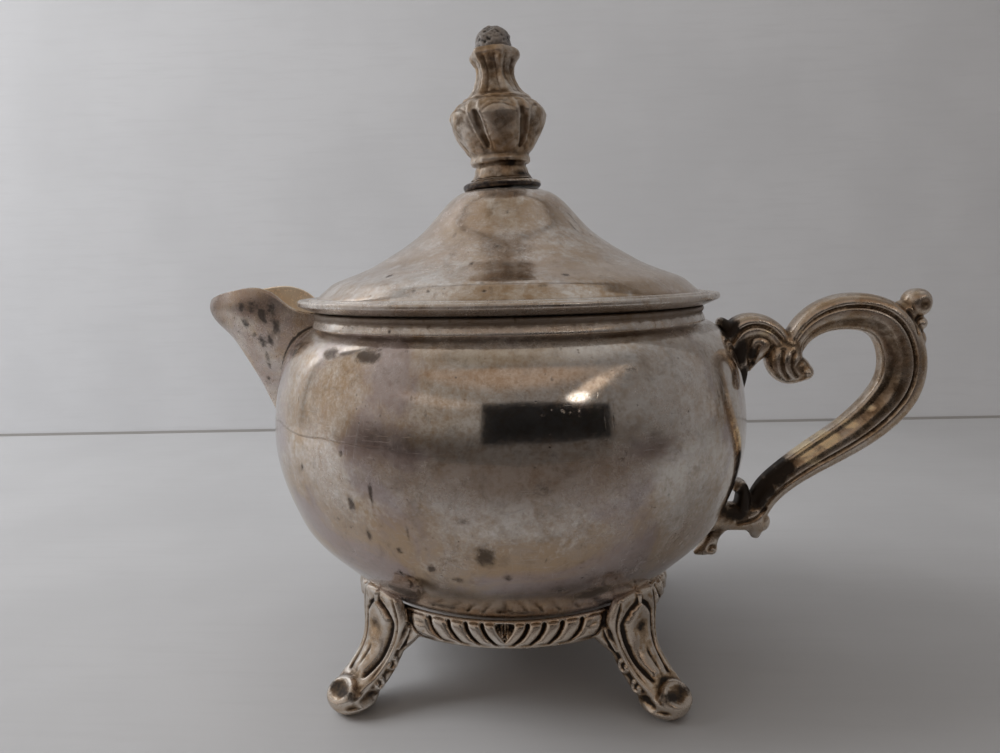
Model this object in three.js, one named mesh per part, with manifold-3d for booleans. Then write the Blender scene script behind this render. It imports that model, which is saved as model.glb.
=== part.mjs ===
// A covered pouring pot in silver plate: a round raised bowl on four cast scroll feet, a soldered
// lip spout, a cast scroll handle, and a lift-off domed lid with a screwed-on urn finial.
// Millimetres, +Z up. Every piece is drawn about the bowl's vertical axis, with the handle towards
// +X and the spout towards -X. The whole group is then moved so that the middle of its footprint
// is the origin and the foot pads stand on z = 0.

import * as THREE from 'three';
import { mergeVertices } from 'three/addons/utils/BufferGeometryUtils.js';
import Module from 'manifold-3d';

const wasm = await Module();
wasm.setup();

// Driving dimensions.
const GAP = 0.3; // left between pieces that touch, as the solder or seating line
const SEGMENTS = 40; // facets round a turned piece
const BOWL_RADIUS = 54.6;
const BOWL_WALL = 1.0;
const NECK_RADIUS = 43.7;
const NECK_TOP = 83.2;
const NECK_HEIGHT = 2.3; // of the upright band above the shoulder
const RIM_WIRE_RADIUS = 45.35;
const LID_EDGE_RADIUS = 48.5;
const LID_WALL = 0.9;
const BEZEL_RADIUS = 42.3;
const BEZEL_WALL = 0.8;
const BEZEL_DEPTH = 3.6; // how far the lid's bezel reaches down inside the neck
const STUD_RADIUS = 1.5;
const STUD_HOLE = STUD_RADIUS + GAP;
const STUD_BOTTOM = 104.6;
const STUD_TOP = 144.6;
const NUT_BOTTOM = 105.9;
const NUT_HEIGHT = 2.1;
const NUT_RADIUS = 3.2; // to its six corners
const WASHER_RADIUS = 4.2;
const WASHER_BOTTOM = 108.3;
const WASHER_TOP = 108.8;
const DOME_TOP = 110;
const FINIAL_BOTTOM = 112.3;
const FINIAL_TOP = 141.7;
const BASE_PLATE_RADIUS = 8.9;
const TIP_RADIUS = 3.9;
const TOTAL_HEIGHT = 146.7;
const SPOUT_WALL = 0.9;
const FOOT_RADIUS = 44.5; // from the bowl's axis to the middle of a foot pad
const PAD_RADIUS = 3;
const TOE_RADIUS = 46.3; // from the bowl's axis to the middle of a toe
const TOE_HEIGHT = 3.3; // of its middle
const GALLERY_RADIUS = 36.6;
const GALLERY_BOTTOM = 15.5;
const GALLERY_TOP = 21.4;

const silver = { color: 0xa79f95, roughness: 0.28, metalness: 1 };
const castSilver = { color: 0x94887a, roughness: 0.4, metalness: 1 };
const gilt = { color: 0xb08a55, roughness: 0.35, metalness: 1 };
const darkTip = { color: 0x5c544c, roughness: 0.7, metalness: 0.6 };
const brass = { color: 0xb39a62, roughness: 0.45, metalness: 1 };

// Geometry helpers.

// Joins a geometry's shared corners and drops the faces that this leaves with no area.
function welded(geometry) {
  geometry.deleteAttribute('normal');
  geometry.deleteAttribute('uv');
  const joined = mergeVertices(geometry, 1e-3);
  const corners = joined.index.array;
  const kept = [];
  for (let i = 0; i < corners.length; i += 3) {
    const [a, b, c] = corners.slice(i, i + 3);
    if (a !== b && b !== c && c !== a) kept.push(a, b, c);
  }
  joined.setIndex(kept);
  return joined;
}

function solidOf(geometry) {
  const shape = welded(geometry);
  const vertProperties = new Float32Array(shape.attributes.position.array);
  const triVerts = new Uint32Array(shape.index.array);
  return new wasm.Manifold(new wasm.Mesh({ numProp: 3, vertProperties, triVerts }));
}

function geometryOf(solid) {
  const { vertProperties, triVerts } = solid.getMesh();
  const geometry = new THREE.BufferGeometry();
  geometry.setAttribute('position', new THREE.BufferAttribute(vertProperties, 3));
  geometry.setIndex(new THREE.BufferAttribute(triVerts, 1));
  return geometry;
}

// A profile of [radius, height] points, turned about +Z. The points run anticlockwise as seen with
// the axis on the left.
function turned(profile, segments = SEGMENTS) {
  const points = profile.map(([radius, height]) => new THREE.Vector2(radius, height));
  return new THREE.LatheGeometry(points, segments).rotateX(Math.PI / 2);
}

function turnedRing(profile, segments = SEGMENTS) {
  return turned([...profile, profile[0]], segments);
}

// Points on a smooth curve through [a, b] pairs, moved sideways by offset to the curve's right.
function smooth(pairs, count, offset = 0) {
  const curve = new THREE.SplineCurve(pairs.map(([a, b]) => new THREE.Vector2(a, b)));
  const points = [];
  for (let i = 0; i <= count; i += 1) {
    const point = curve.getPoint(i / count);
    const along = curve.getTangent(i / count);
    points.push([point.x + along.y * offset, point.y - along.x * offset]);
  }
  return points;
}

// A bar that follows a curve in the XZ plane. thick and wide give its half sizes, in the plane and
// across it, at each fraction of its length.
function bentBar(pairs, thick, wide, { sides = 10, steps = 12 } = {}) {
  const curve = new THREE.SplineCurve(pairs.map(([x, z]) => new THREE.Vector2(x, z)));
  const bar = welded(new THREE.CylinderGeometry(1, 1, 1, sides, steps));
  const place = bar.attributes.position;
  for (let i = 0; i < place.count; i += 1) {
    const t = THREE.MathUtils.clamp(place.getY(i) + 0.5, 0, 1);
    const centre = curve.getPoint(t);
    const along = curve.getTangent(t);
    const lift = place.getX(i) * thick(t);
    place.setXYZ(i, centre.x - along.y * lift, place.getZ(i) * wide(t), centre.y + along.x * lift);
  }
  return solidOf(bar);
}

// A half size that runs through evenly spaced values.
function sizes(...values) {
  return (t) => {
    const place = t * (values.length - 1);
    const i = Math.min(Math.floor(place), values.length - 2);
    return THREE.MathUtils.lerp(values[i], values[i + 1], place - i);
  };
}

function ball(x, z, radius, wide, segments = 12) {
  const sphere = new THREE.SphereGeometry(1, segments, segments - 4).rotateX(Math.PI / 2);
  return solidOf(sphere.scale(radius, wide, radius).translate(x, 0, z));
}

function union(solids) {
  return solids.reduce((sum, solid) => sum.add(solid));
}

function mesh(name, geometry, material) {
  const piece = new THREE.Mesh(geometry, new THREE.MeshStandardMaterial(material));
  piece.name = name;
  return piece;
}

// Bowl: a thin raised shell with a flat spot under it and a short upright neck.
const BOWL_OUTLINE = [
  [13, 12.8], [24, 15], [31, 18.4], [38.1, 24.1], [46.4, 32], [51, 40], [53.7, 48],
  [BOWL_RADIUS, 56.5], [53.9, 65], [51, 75], [47.6, 78.7], [44.3, 80.5],
];
const BOWL_STEPS = 12;

// The solid inside the bowl's outer face moved out by offset, open at no place and carried up
// through the neck to the given height.
function bowlForm(offset, top) {
  const wall = smooth(BOWL_OUTLINE, BOWL_STEPS, offset);
  const neck = NECK_RADIUS + offset;
  return turned([[0, wall[0][1]], ...wall, [neck, NECK_TOP - NECK_HEIGHT], [neck, top], [0, top]]);
}

const bowlClearance = solidOf(bowlForm(GAP, 100));

// Spout: its level cuts are half ovals that grow from a point low on the bowl to the wide lip.
// The underside of the spout from the side, as [distance from the axis, height].
const SPOUT_REACH = [
  [54.2, 51], [57.6, 58.5], [60.9, 66.2], [64.1, 72],
  [68.2, 77.9], [71.6, 81.2], [73.1, 84], [69.5, 89.5],
];
const SPOUT_HALF_WIDTH = sizes(0.9, 3.2, 5.8, 8.3, 10.6, 12.4, 13.2, 13.4);
const SPOUT_ROOT = 40; // where the ovals have their middle, inside the bowl
// The lip's upper edge from the side, as [distance from the axis, height].
const SPOUT_EDGE = [
  [41, 82.6], [46.2, 83.1], [48.8, 84.2], [52.5, 87], [57.5, 88.6],
  [62.5, 88.1], [67, 87.3], [70.5, 86.2], [73, 84.9], [80, 80],
];
const NOTCH_BOTTOM = 66; // of the opening that the bowl's wall has behind the spout
const SPOUT_SIDES = 24;
const SPOUT_STEPS = 14;
const CUTTER_TOP = 110; // above everything that a cutting solid has to clear

function spoutForm(inset) {
  const reach = new THREE.SplineCurve(SPOUT_REACH.map(([x, z]) => new THREE.Vector2(x, z)));
  const bar = welded(new THREE.CylinderGeometry(1, 1, 1, SPOUT_SIDES, SPOUT_STEPS));
  const place = bar.attributes.position;
  for (let i = 0; i < place.count; i += 1) {
    const t = THREE.MathUtils.clamp(place.getY(i) + 0.5, 0, 1);
    const front = reach.getPoint(t);
    const long = Math.max(front.x - SPOUT_ROOT - inset, 0.5);
    const wide = Math.max(SPOUT_HALF_WIDTH(t) - inset, 0.3);
    place.setXYZ(i, -SPOUT_ROOT - place.getX(i) * long, place.getZ(i) * wide, front.y);
  }
  return solidOf(bar);
}

function aboveSpoutEdge() {
  const shape = new THREE.Shape();
  const edge = smooth(SPOUT_EDGE, 16);
  shape.moveTo(-edge[0][0], CUTTER_TOP);
  edge.forEach(([x, z]) => shape.lineTo(-x, z));
  shape.lineTo(-edge.at(-1)[0], CUTTER_TOP);
  shape.lineTo(-edge[0][0], CUTTER_TOP);
  const depth = BOWL_RADIUS;
  const block = new THREE.ExtrudeGeometry(shape, { depth, bevelEnabled: false });
  return solidOf(block.rotateX(Math.PI / 2).translate(0, depth / 2, 0));
}

function bowlBody() {
  const outer = smooth(BOWL_OUTLINE, BOWL_STEPS);
  const inner = smooth(BOWL_OUTLINE, BOWL_STEPS, -BOWL_WALL).reverse();
  const inside = NECK_RADIUS - BOWL_WALL;
  const shell = turned([
    [0, outer[0][1]], ...outer, [NECK_RADIUS, NECK_TOP - NECK_HEIGHT], [NECK_RADIUS, NECK_TOP],
    [inside, NECK_TOP], [inside, NECK_TOP - NECK_HEIGHT - 0.3], ...inner, [0, inner.at(-1)[1]],
  ]);
  const side = 4 * BOWL_RADIUS;
  const below = new THREE.BoxGeometry(side, side, side).translate(0, 0, NOTCH_BOTTOM - side / 2);
  const pouringNotch = spoutForm(SPOUT_WALL + BOWL_WALL).subtract(solidOf(below));
  return geometryOf(solidOf(shell).subtract(pouringNotch));
}

function bowlRimWire() {
  const low = NECK_TOP - NECK_HEIGHT + 0.2;
  const high = NECK_TOP - 0.05;
  const inner = NECK_RADIUS + GAP;
  const outer = RIM_WIRE_RADIUS;
  const wire = turnedRing([
    [inner, low], [outer - 0.6, low], [outer, low + 0.7], [outer, high - 0.7],
    [outer - 0.6, high], [inner, high],
  ]);
  return geometryOf(solidOf(wire).subtract(spoutForm(-GAP)));
}

function spout() {
  const shell = spoutForm(0).subtract(spoutForm(SPOUT_WALL)).subtract(aboveSpoutEdge());
  return geometryOf(shell.subtract(bowlClearance));
}

// Handle: one casting of scrolls in the XZ plane, ending on the bowl in two leaf pads.
function handle() {
  const loop = bentBar(
    [[65.6, 69.5], [67.6, 74.5], [72.2, 78.9], [79.6, 80.8], [87, 78.6], [91.1, 71.5],
      [90.7, 63.5], [86.2, 56.7], [79.6, 51], [72.8, 46.9], [65.8, 42], [60.4, 36.4], [57.8, 28.6]],
    sizes(2.6, 3.2, 4, 4.4, 4.8, 5.1, 5, 4.6, 4.1, 3.6, 3.2, 2.9, 1.6),
    sizes(3, 3.6, 4, 4.2, 4.2, 4.2, 4.1, 3.9, 3.7, 3.5, 3.3, 3.1, 2.2),
    { sides: 10, steps: 22 },
  );
  const archScroll = bentBar(
    [[52.4, 74], [54.8, 76.6], [58.8, 77], [62.4, 74.4], [64.5, 70]],
    sizes(3.2, 3.6, 3.2, 3, 2.8), sizes(4.2, 4.2, 3.8, 3.6, 3.6), { sides: 10, steps: 8 },
  );
  const dropScroll = bentBar(
    [[64.9, 73], [64.4, 69.6], [65.4, 67.6], [67.4, 67.4]],
    sizes(3.8, 4.2, 3.8, 3.2), sizes(3.6, 4.3, 4.3, 3.8), { sides: 10, steps: 6 },
  );
  const leafTip = bentBar(
    [[58.6, 73.6], [57.2, 71], [56.7, 67.4]],
    sizes(3.2, 2.5, 0.6), sizes(3.6, 3, 0.9), { sides: 8, steps: 5 },
  );
  const upperPad = bentBar(
    [[50, 78.6], [52.6, 75.6], [54.2, 71], [54.9, 66.4], [55, 62.8]],
    sizes(1.2, 2.2, 2, 1.4, 0.7), sizes(2.8, 3.8, 3.6, 2.6, 1), { sides: 10, steps: 8 },
  );
  const bracket = bentBar(
    [[60.4, 30], [55.6, 31.6], [50.4, 31.8], [44, 30.6]],
    sizes(2.2, 3.2, 3.4, 4), sizes(2.6, 3.2, 3.6, 4.4), { sides: 10, steps: 6 },
  );
  const standScroll = bentBar(
    [[55.4, 32], [55.5, 36], [55.2, 40.6]],
    sizes(1.8, 1.9, 1), sizes(3, 3.2, 2.4), { sides: 8, steps: 5 },
  );
  const tailScroll = bentBar(
    [[50.6, 30], [48.8, 26.6], [47.6, 24], [44.8, 22.4]],
    sizes(2.2, 1.5, 1.6, 0.5), sizes(3.2, 2.4, 2.6, 1.2), { sides: 8, steps: 6 },
  );
  const thumbKnob = ball(94.2, 82.4, 3.4, 3.3);
  const leafStep = ball(95, 77.6, 1.6, 2.6, 8);
  const scrollEnds = [ball(69.2, 66.8, 2, 4.4, 8), ball(48.2, 23.8, 1.8, 2.8, 8)];
  return geometryOf(union([
    loop, archScroll, dropScroll, leafTip, upperPad, bracket, standScroll, tailScroll,
    thumbKnob, leafStep, ...scrollEnds,
  ]).subtract(bowlClearance));
}

// Foot: one casting of a scroll leg with its half of the gallery on each side, drawn along +X.
const GALLERY_SECTION = [
  [-1.9, 0], [-0.1, 0], [0.3, 1.2], [-0.3, 2.2], [0.2, 3.6], [-0.2, 5.6], [-1, 5.9], [-2.2, 4.9],
];

function foot() {
  const section = GALLERY_SECTION.map(([out, up]) => [GALLERY_RADIUS + out, GALLERY_BOTTOM + up]);
  const far = BOWL_RADIUS;
  const corners = [[GAP, 0], [far + GAP, GAP - far], [far + GAP, far - GAP]];
  const sector = new THREE.Shape(corners.map(([x, y]) => new THREE.Vector2(x, y)));
  const quarter = new THREE.ExtrudeGeometry(sector, { depth: far, bevelEnabled: false });
  const gallery = solidOf(turnedRing(section)).intersect(solidOf(quarter));
  const leg = bentBar(
    [[38, GALLERY_TOP + 1.4], [37.4, 18], [37.8, 13.5], [40, 9.4], [43.4, 6], [46.6, 4.2]],
    sizes(1.3, 1.8, 2, 2.2, 2.5, 2.4), sizes(6, 7.6, 6.8, 5.9, 5.6, 5.2), { sides: 10, steps: 7 },
  );
  const toe = new THREE.SphereGeometry(1, 12, 8).rotateX(Math.PI / 2).scale(5.4, 5.8, 3.4);
  toe.translate(TOE_RADIUS, 0, TOE_HEIGHT);
  const pad = new THREE.CylinderGeometry(PAD_RADIUS, PAD_RADIUS + 0.6, 2, 16);
  pad.rotateX(-Math.PI / 2).translate(FOOT_RADIUS, 0, 1);
  const below = new THREE.BoxGeometry(far, far, far).translate(FOOT_RADIUS, 0, -far / 2);
  return union([gallery, leg, solidOf(toe), solidOf(pad)])
    .subtract(solidOf(below)).subtract(bowlClearance);
}

function feet() {
  const casting = foot();
  const corners = { back_right: 45, back_left: 135, front_left: 225, front_right: 315 };
  return Object.entries(corners).map(([corner, turn]) => {
    const piece = mesh(`foot_${corner}`, geometryOf(casting), castSilver);
    piece.rotation.z = THREE.MathUtils.degToRad(turn);
    return piece;
  });
}

// Lid: a domed shell, a flared edge wire under it, and a bezel that drops inside the neck.
const LID_SEAT = NECK_TOP + GAP;
const DOME_OUTLINE = [
  [44.3, 85.4], [43.3, 87], [40.4, 89.3], [33.6, 92], [27.8, 95],
  [21.6, 99], [17.3, 103], [13.7, 107], [9.5, 109.7],
];

function lidDome() {
  const outer = smooth(DOME_OUTLINE, 11);
  const inner = smooth(DOME_OUTLINE, 9, -LID_WALL).reverse();
  const bottom = LID_SEAT + 1.5;
  return turnedRing([
    [outer[0][0], bottom], ...outer, [STUD_HOLE, DOME_TOP], [STUD_HOLE, DOME_TOP - LID_WALL],
    ...inner, [inner.at(-1)[0], bottom],
  ]);
}

function lidEdge() {
  const outer = LID_EDGE_RADIUS;
  const inside = BEZEL_RADIUS + GAP;
  const domeFoot = DOME_OUTLINE[0][0] + 0.4;
  return turnedRing([
    [inside, LID_SEAT], [domeFoot + 0.9, LID_SEAT], [outer - 0.4, LID_SEAT + 1.15],
    [outer, LID_SEAT + 1.8], [outer - 0.4, LID_SEAT + 2.5], [domeFoot, LID_SEAT + 2.6],
    [domeFoot, LID_SEAT + 1.1], [inside, LID_SEAT + 1.1],
  ]);
}

function lidBezel() {
  const inner = BEZEL_RADIUS - BEZEL_WALL;
  const low = NECK_TOP - BEZEL_DEPTH;
  const high = LID_SEAT + 2.8;
  return turnedRing([[inner, low], [BEZEL_RADIUS, low], [BEZEL_RADIUS, high], [inner, high]]);
}

// Finial: a base plate, a six-lobed cast urn and a rough tip, held down by a stud and a nut.
const FINIAL_OUTLINE = [
  [6.2, FINIAL_BOTTOM], [6.2, 115.4], [6.8, 116.4], [6.8, 118], [9.4, 121.6], [10.8, 124.4],
  [10.8, 127], [9.2, 129.4], [6.3, 131.5], [4.3, 136], [5.6, 139.9], [4.6, FINIAL_TOP],
];
const FINIAL_LOBES = 6;
const LOBE_DEPTH = 0.09; // of the radius, at the grooves between lobes
const LOBES_BOTTOM = 118.5;

function finialUrn() {
  const bore = [[STUD_HOLE, FINIAL_TOP], [STUD_HOLE, FINIAL_BOTTOM]];
  const urn = turnedRing([...FINIAL_OUTLINE, ...bore], FINIAL_LOBES * 6);
  const place = urn.attributes.position;
  for (let i = 0; i < place.count; i += 1) {
    const [x, y, z] = [place.getX(i), place.getY(i), place.getZ(i)];
    const lobed = Math.hypot(x, y) > STUD_HOLE + 1 && z > LOBES_BOTTOM;
    const groove = lobed ? LOBE_DEPTH * (0.5 - 0.5 * Math.cos(FINIAL_LOBES * Math.atan2(y, x))) : 0;
    place.setXYZ(i, x * (1 - groove), y * (1 - groove), z);
  }
  return urn;
}

function finialBasePlate() {
  const low = FINIAL_BOTTOM - 2;
  const edge = BASE_PLATE_RADIUS;
  return turnedRing([
    [STUD_HOLE, low], [edge - 0.4, low], [edge, low + 0.45], [edge, low + 1.1],
    [edge - 0.5, low + 1.5], [edge - 2.5, low + 1.7], [STUD_HOLE, low + 1.7],
  ], 32);
}

function finialTip() {
  const low = FINIAL_TOP + GAP;
  const socketTop = STUD_TOP + GAP;
  return turned([
    [0, socketTop], [STUD_HOLE, socketTop], [STUD_HOLE, low], [TIP_RADIUS - 0.6, low],
    [TIP_RADIUS, low + 0.6], [TIP_RADIUS, low + 1.9],
    [TIP_RADIUS - 1.1, TOTAL_HEIGHT - 0.7], [0, TOTAL_HEIGHT],
  ], 24);
}

function finialStud() {
  const height = STUD_TOP - STUD_BOTTOM;
  const rod = new THREE.CylinderGeometry(STUD_RADIUS, STUD_RADIUS, height, 16);
  return rod.rotateX(Math.PI / 2).translate(0, 0, STUD_BOTTOM + height / 2);
}

function finialNut() {
  const middle = NUT_BOTTOM + NUT_HEIGHT / 2;
  const body = new THREE.CylinderGeometry(NUT_RADIUS, NUT_RADIUS, NUT_HEIGHT, 6);
  const hole = new THREE.CylinderGeometry(STUD_HOLE, STUD_HOLE, 2 * NUT_HEIGHT, 16);
  body.rotateX(Math.PI / 2).translate(0, 0, middle);
  hole.rotateX(Math.PI / 2).translate(0, 0, middle);
  return geometryOf(solidOf(body).subtract(solidOf(hole)));
}

function finialWasher() {
  return turnedRing([
    [STUD_HOLE, WASHER_BOTTOM], [WASHER_RADIUS, WASHER_BOTTOM],
    [WASHER_RADIUS, WASHER_TOP], [STUD_HOLE, WASHER_TOP],
  ], 24);
}

const pot = new THREE.Group();
pot.add(
  mesh('bowl_body', bowlBody(), silver),
  mesh('bowl_rim_wire', bowlRimWire(), silver),
  mesh('spout', spout(), gilt),
  mesh('handle', handle(), castSilver),
  ...feet(),
  mesh('lid_dome', lidDome(), silver),
  mesh('lid_edge', lidEdge(), silver),
  mesh('lid_bezel', lidBezel(), silver),
  mesh('finial_base_plate', finialBasePlate(), castSilver),
  mesh('finial_urn', finialUrn(), castSilver),
  mesh('finial_tip', finialTip(), darkTip),
  mesh('finial_stud', finialStud(), brass),
  mesh('finial_washer', finialWasher(), brass),
  mesh('finial_nut', finialNut(), brass),
);

const extent = new THREE.Box3().setFromObject(pot);
const middle = extent.getCenter(new THREE.Vector3());
pot.position.set(-middle.x, -middle.y, -extent.min.z);

export default pot;
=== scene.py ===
"""Looks for a covered pouring pot in worn silver plate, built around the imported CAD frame.

Shapes are drawn in millimetres about the bowl's own axis, with the handle towards +X and the
spout towards -X, and are then scaled to metres and moved to where the CAD nodes stand.
"""

import math

import bpy
import numpy as np
from mathutils import Matrix, Vector

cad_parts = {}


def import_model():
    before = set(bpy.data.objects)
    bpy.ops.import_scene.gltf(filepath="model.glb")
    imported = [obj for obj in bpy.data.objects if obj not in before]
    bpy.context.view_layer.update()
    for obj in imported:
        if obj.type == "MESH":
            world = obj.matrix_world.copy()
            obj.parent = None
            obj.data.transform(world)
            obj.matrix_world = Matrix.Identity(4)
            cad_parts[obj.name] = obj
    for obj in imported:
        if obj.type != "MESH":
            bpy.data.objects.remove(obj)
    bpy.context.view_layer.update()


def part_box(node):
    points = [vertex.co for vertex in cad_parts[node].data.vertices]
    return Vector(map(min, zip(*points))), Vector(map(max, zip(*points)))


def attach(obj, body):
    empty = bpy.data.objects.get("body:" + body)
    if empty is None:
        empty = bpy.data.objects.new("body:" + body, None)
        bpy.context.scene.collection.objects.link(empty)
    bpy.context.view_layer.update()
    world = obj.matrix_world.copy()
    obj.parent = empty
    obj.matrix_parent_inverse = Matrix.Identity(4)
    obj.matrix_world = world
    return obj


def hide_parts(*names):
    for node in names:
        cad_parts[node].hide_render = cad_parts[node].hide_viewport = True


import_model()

MM = 0.001


def node_box(name):
    low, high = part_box(name)
    return np.array(low) / MM, np.array(high) / MM


def axis_position():
    low, high = node_box("lid_dome")
    return (low[0] + high[0]) / 2


AXIS_X = axis_position()


def ring_box(name):
    """The lowest and highest height of a CAD node about the bowl's axis, and its outer radius."""
    low, high = node_box(name)
    return low[2], high[2], high[0] - AXIS_X


NECK_TOP = ring_box("bowl_body")[1]
PLATE_BOTTOM = ring_box("finial_base_plate")[0]
BEZEL_RADIUS = ring_box("lid_bezel")[2]
STUD_RADIUS = ring_box("finial_stud")[2]
BOWL_WALL = 1.0
SPOUT_WALL = 0.9
LID_WALL = 0.9


# ---------------------------------------------------------------- curves and meshes


class Spline:
    """A twice-smooth curve through points, read at fractions of its length."""

    def __init__(self, points):
        self.points = np.array(points, float)
        self.steps = np.linalg.norm(np.diff(self.points, axis=0), axis=1)
        self.knots = np.concatenate([[0.0], np.cumsum(self.steps)])
        self.bend = self._bend()

    def _bend(self):
        count = len(self.points)
        matrix = np.eye(count)
        right = np.zeros_like(self.points)
        for i in range(1, count - 1):
            before, after = self.steps[i - 1], self.steps[i]
            matrix[i, i - 1 : i + 2] = before, 2 * (before + after), after
            rise = (self.points[i + 1] - self.points[i]) / after
            right[i] = 6 * (rise - (self.points[i] - self.points[i - 1]) / before)
        return np.linalg.solve(matrix, right)

    def at(self, fraction):
        place = np.asarray(fraction, float) * self.knots[-1]
        i = np.clip(np.searchsorted(self.knots, place, side="right") - 1, 0, len(self.steps) - 1)
        step = self.steps[i][..., None]
        a = (self.knots[i + 1] - place)[..., None]
        b = (place - self.knots[i])[..., None]
        cubic = (self.bend[i] * a**3 + self.bend[i + 1] * b**3) / (6 * step)
        low = self.points[i] / step - self.bend[i] * step / 6
        high = self.points[i + 1] / step - self.bend[i + 1] * step / 6
        return cubic + low * a + high * b

    def line(self, count):
        return self.at(np.linspace(0, 1, count))


def tangents(line):
    along = np.gradient(line, axis=0)
    return along / np.linalg.norm(along, axis=1, keepdims=True)


def offset_profile(line, distance):
    """A [radius, height] line moved sideways, to its right."""
    along = tangents(line)
    return line + distance * np.stack([along[:, 1], -along[:, 0]], axis=1)


def smoothstep(value, low, high):
    t = np.clip((value - low) / (high - low), 0, 1)
    return t * t * (3 - 2 * t)


def bell(value, centre, width):
    """A soft bump of height 1."""
    return np.exp(-(((value - centre) / width) ** 2))


def band(value, rise_low, rise_high, fall_low, fall_high):
    """1 between a soft rise and a soft fall, 0 outside them."""
    return smoothstep(value, rise_low, rise_high) * (1 - smoothstep(value, fall_low, fall_high))


def flat_curve(points, count):
    """A smooth line through [x, z] points in the XZ plane."""
    return Spline([[x, 0, z] for x, z in points]).line(count)


def table(values):
    """A smooth function of 0..1 through evenly spaced values."""
    count = len(values)
    curve = Spline(np.stack([np.linspace(0, 1, count), np.array(values, float) * 0.01], axis=1))
    samples = curve.line(400)
    return lambda t: np.interp(t, samples[:, 0], samples[:, 1] * 100)


def mesh_object(name, points, faces, smooth=True):
    mesh = bpy.data.meshes.new(name)
    mesh.from_pydata(np.asarray(points, float).tolist(), [], faces)
    mesh.validate()
    mesh.update()
    if smooth:
        mesh.shade_smooth()
    piece = bpy.data.objects.new(name, mesh)
    bpy.context.scene.collection.objects.link(piece)
    return piece


def grid_faces(rows, columns, wrap_rows=False, wrap_columns=True):
    row_count = rows if wrap_rows else rows - 1
    column_count = columns if wrap_columns else columns - 1
    i = np.arange(row_count)[:, None]
    j = np.arange(column_count)[None, :]
    i_next = (i + 1) % rows
    j_next = (j + 1) % columns
    corners = [i * columns + j, i * columns + j_next, i_next * columns + j_next, i_next * columns + j]
    return np.stack([c + 0 * (i + j) for c in corners], axis=-1).reshape(-1, 4).tolist()


def grid_object(name, grid, **wraps):
    """A surface through a rows by columns array of points."""
    rows, columns = grid.shape[:2]
    return mesh_object(name, grid.reshape(-1, 3), grid_faces(rows, columns, **wraps))


def upright(radius, height, azimuths):
    """Points from radii and heights about the bowl's axis."""
    x = radius * np.cos(azimuths)
    y = radius * np.sin(azimuths)
    return np.stack([x, y, height + 0 * azimuths], axis=-1)


def turned_grid(profile, azimuths):
    """A [radius, height] profile turned about the bowl's axis."""
    profile = np.asarray(profile, float)
    return upright(profile[:, 0][:, None], profile[:, 1][:, None], azimuths)


def full_turn(count):
    return np.linspace(0, 2 * math.pi, count, endpoint=False)[None, :]


def turned_ring(name, profile, count=256):
    """A closed profile, running anticlockwise with the axis on its left, turned all the way."""
    return grid_object(name, turned_grid(profile, full_turn(count)), wrap_rows=True)


def closed_grid(grid, start, end):
    """Points and faces of a wrapped grid, closed with one point at each end."""
    rows, columns = grid.shape[:2]
    points = np.concatenate([grid.reshape(-1, 3), [start, end]])
    faces = grid_faces(rows, columns)
    first, last = rows * columns, rows * columns + 1
    top = (rows - 1) * columns
    for j in range(columns):
        following = (j + 1) % columns
        faces.append([first, following, j])
        faces.append([last, top + j, top + following])
    return points, faces


def capped_sweep(grid):
    """Points and faces of a closed section swept along the columns, with flat ends."""
    rows, columns = grid.shape[:2]
    faces = grid_faces(rows, columns, wrap_rows=True, wrap_columns=False)
    faces.append([i * columns for i in range(rows)][::-1])
    faces.append([i * columns + columns - 1 for i in range(rows)])
    return grid.reshape(-1, 3), faces


def store(piece, name, values):
    attribute = piece.data.attributes.new(name, "FLOAT", "POINT")
    attribute.data.foreach_set("value", np.asarray(values).astype(np.float32))


def blobs(u, v, marks):
    """The strongest of some soft spots, each given as place u, place v, reach u, reach v, strength."""
    total = np.zeros(len(u))
    for place_u, place_v, reach_u, reach_v, strength in marks:
        spot = strength * bell(u, place_u, reach_u) * bell(v, place_v, reach_v)
        total = np.where(np.abs(spot) > np.abs(total), spot, total)
    return total


def mark(piece, name, marks):
    """Stores soft spots placed by X and height."""
    co = corners_of(piece)
    store(piece, name, blobs(co[:, 0], co[:, 2], marks))


def rounded(corners, radius, steps=5):
    """A closed polygon of [radius, height] corners with its corners rounded off."""
    corners = np.asarray(corners, float)
    line = []
    for before, corner, after in zip(np.roll(corners, 1, 0), corners, np.roll(corners, -1, 0)):
        back, ahead = before - corner, after - corner
        reach = min(radius, 0.45 * np.linalg.norm(back), 0.45 * np.linalg.norm(ahead))
        start = corner + back / np.linalg.norm(back) * reach
        end = corner + ahead / np.linalg.norm(ahead) * reach
        for t in np.linspace(0, 1, steps):
            line.append((1 - t) ** 2 * start + 2 * t * (1 - t) * corner + t**2 * end)
    return np.array(line)


# ---------------------------------------------------------------- cast pieces


def frame_along(line):
    """The sideways direction of a curve that lies in the XZ plane: up where it runs towards +X."""
    along = tangents(line)
    return np.stack([-along[:, 2], 0 * along[:, 0], along[:, 0]], axis=1)


def rope_section(sides):
    """An oval section as [in-plane, across] points."""
    turn = full_turn(sides)[0]
    return np.stack([np.cos(turn), np.sin(turn)], axis=1)


def squared_section(sides, power=0.62):
    oval = rope_section(sides)
    return np.sign(oval) * np.abs(oval) ** power


def grooved(section, grooves):
    """Deepens the two faces of a section at [place, depth, width] lines."""
    place = section[:, 0]
    depth = sum(d * bell(place, p, w) for p, d, w in grooves)
    return np.stack([place, section[:, 1] * (1 - depth)], axis=1)


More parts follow.
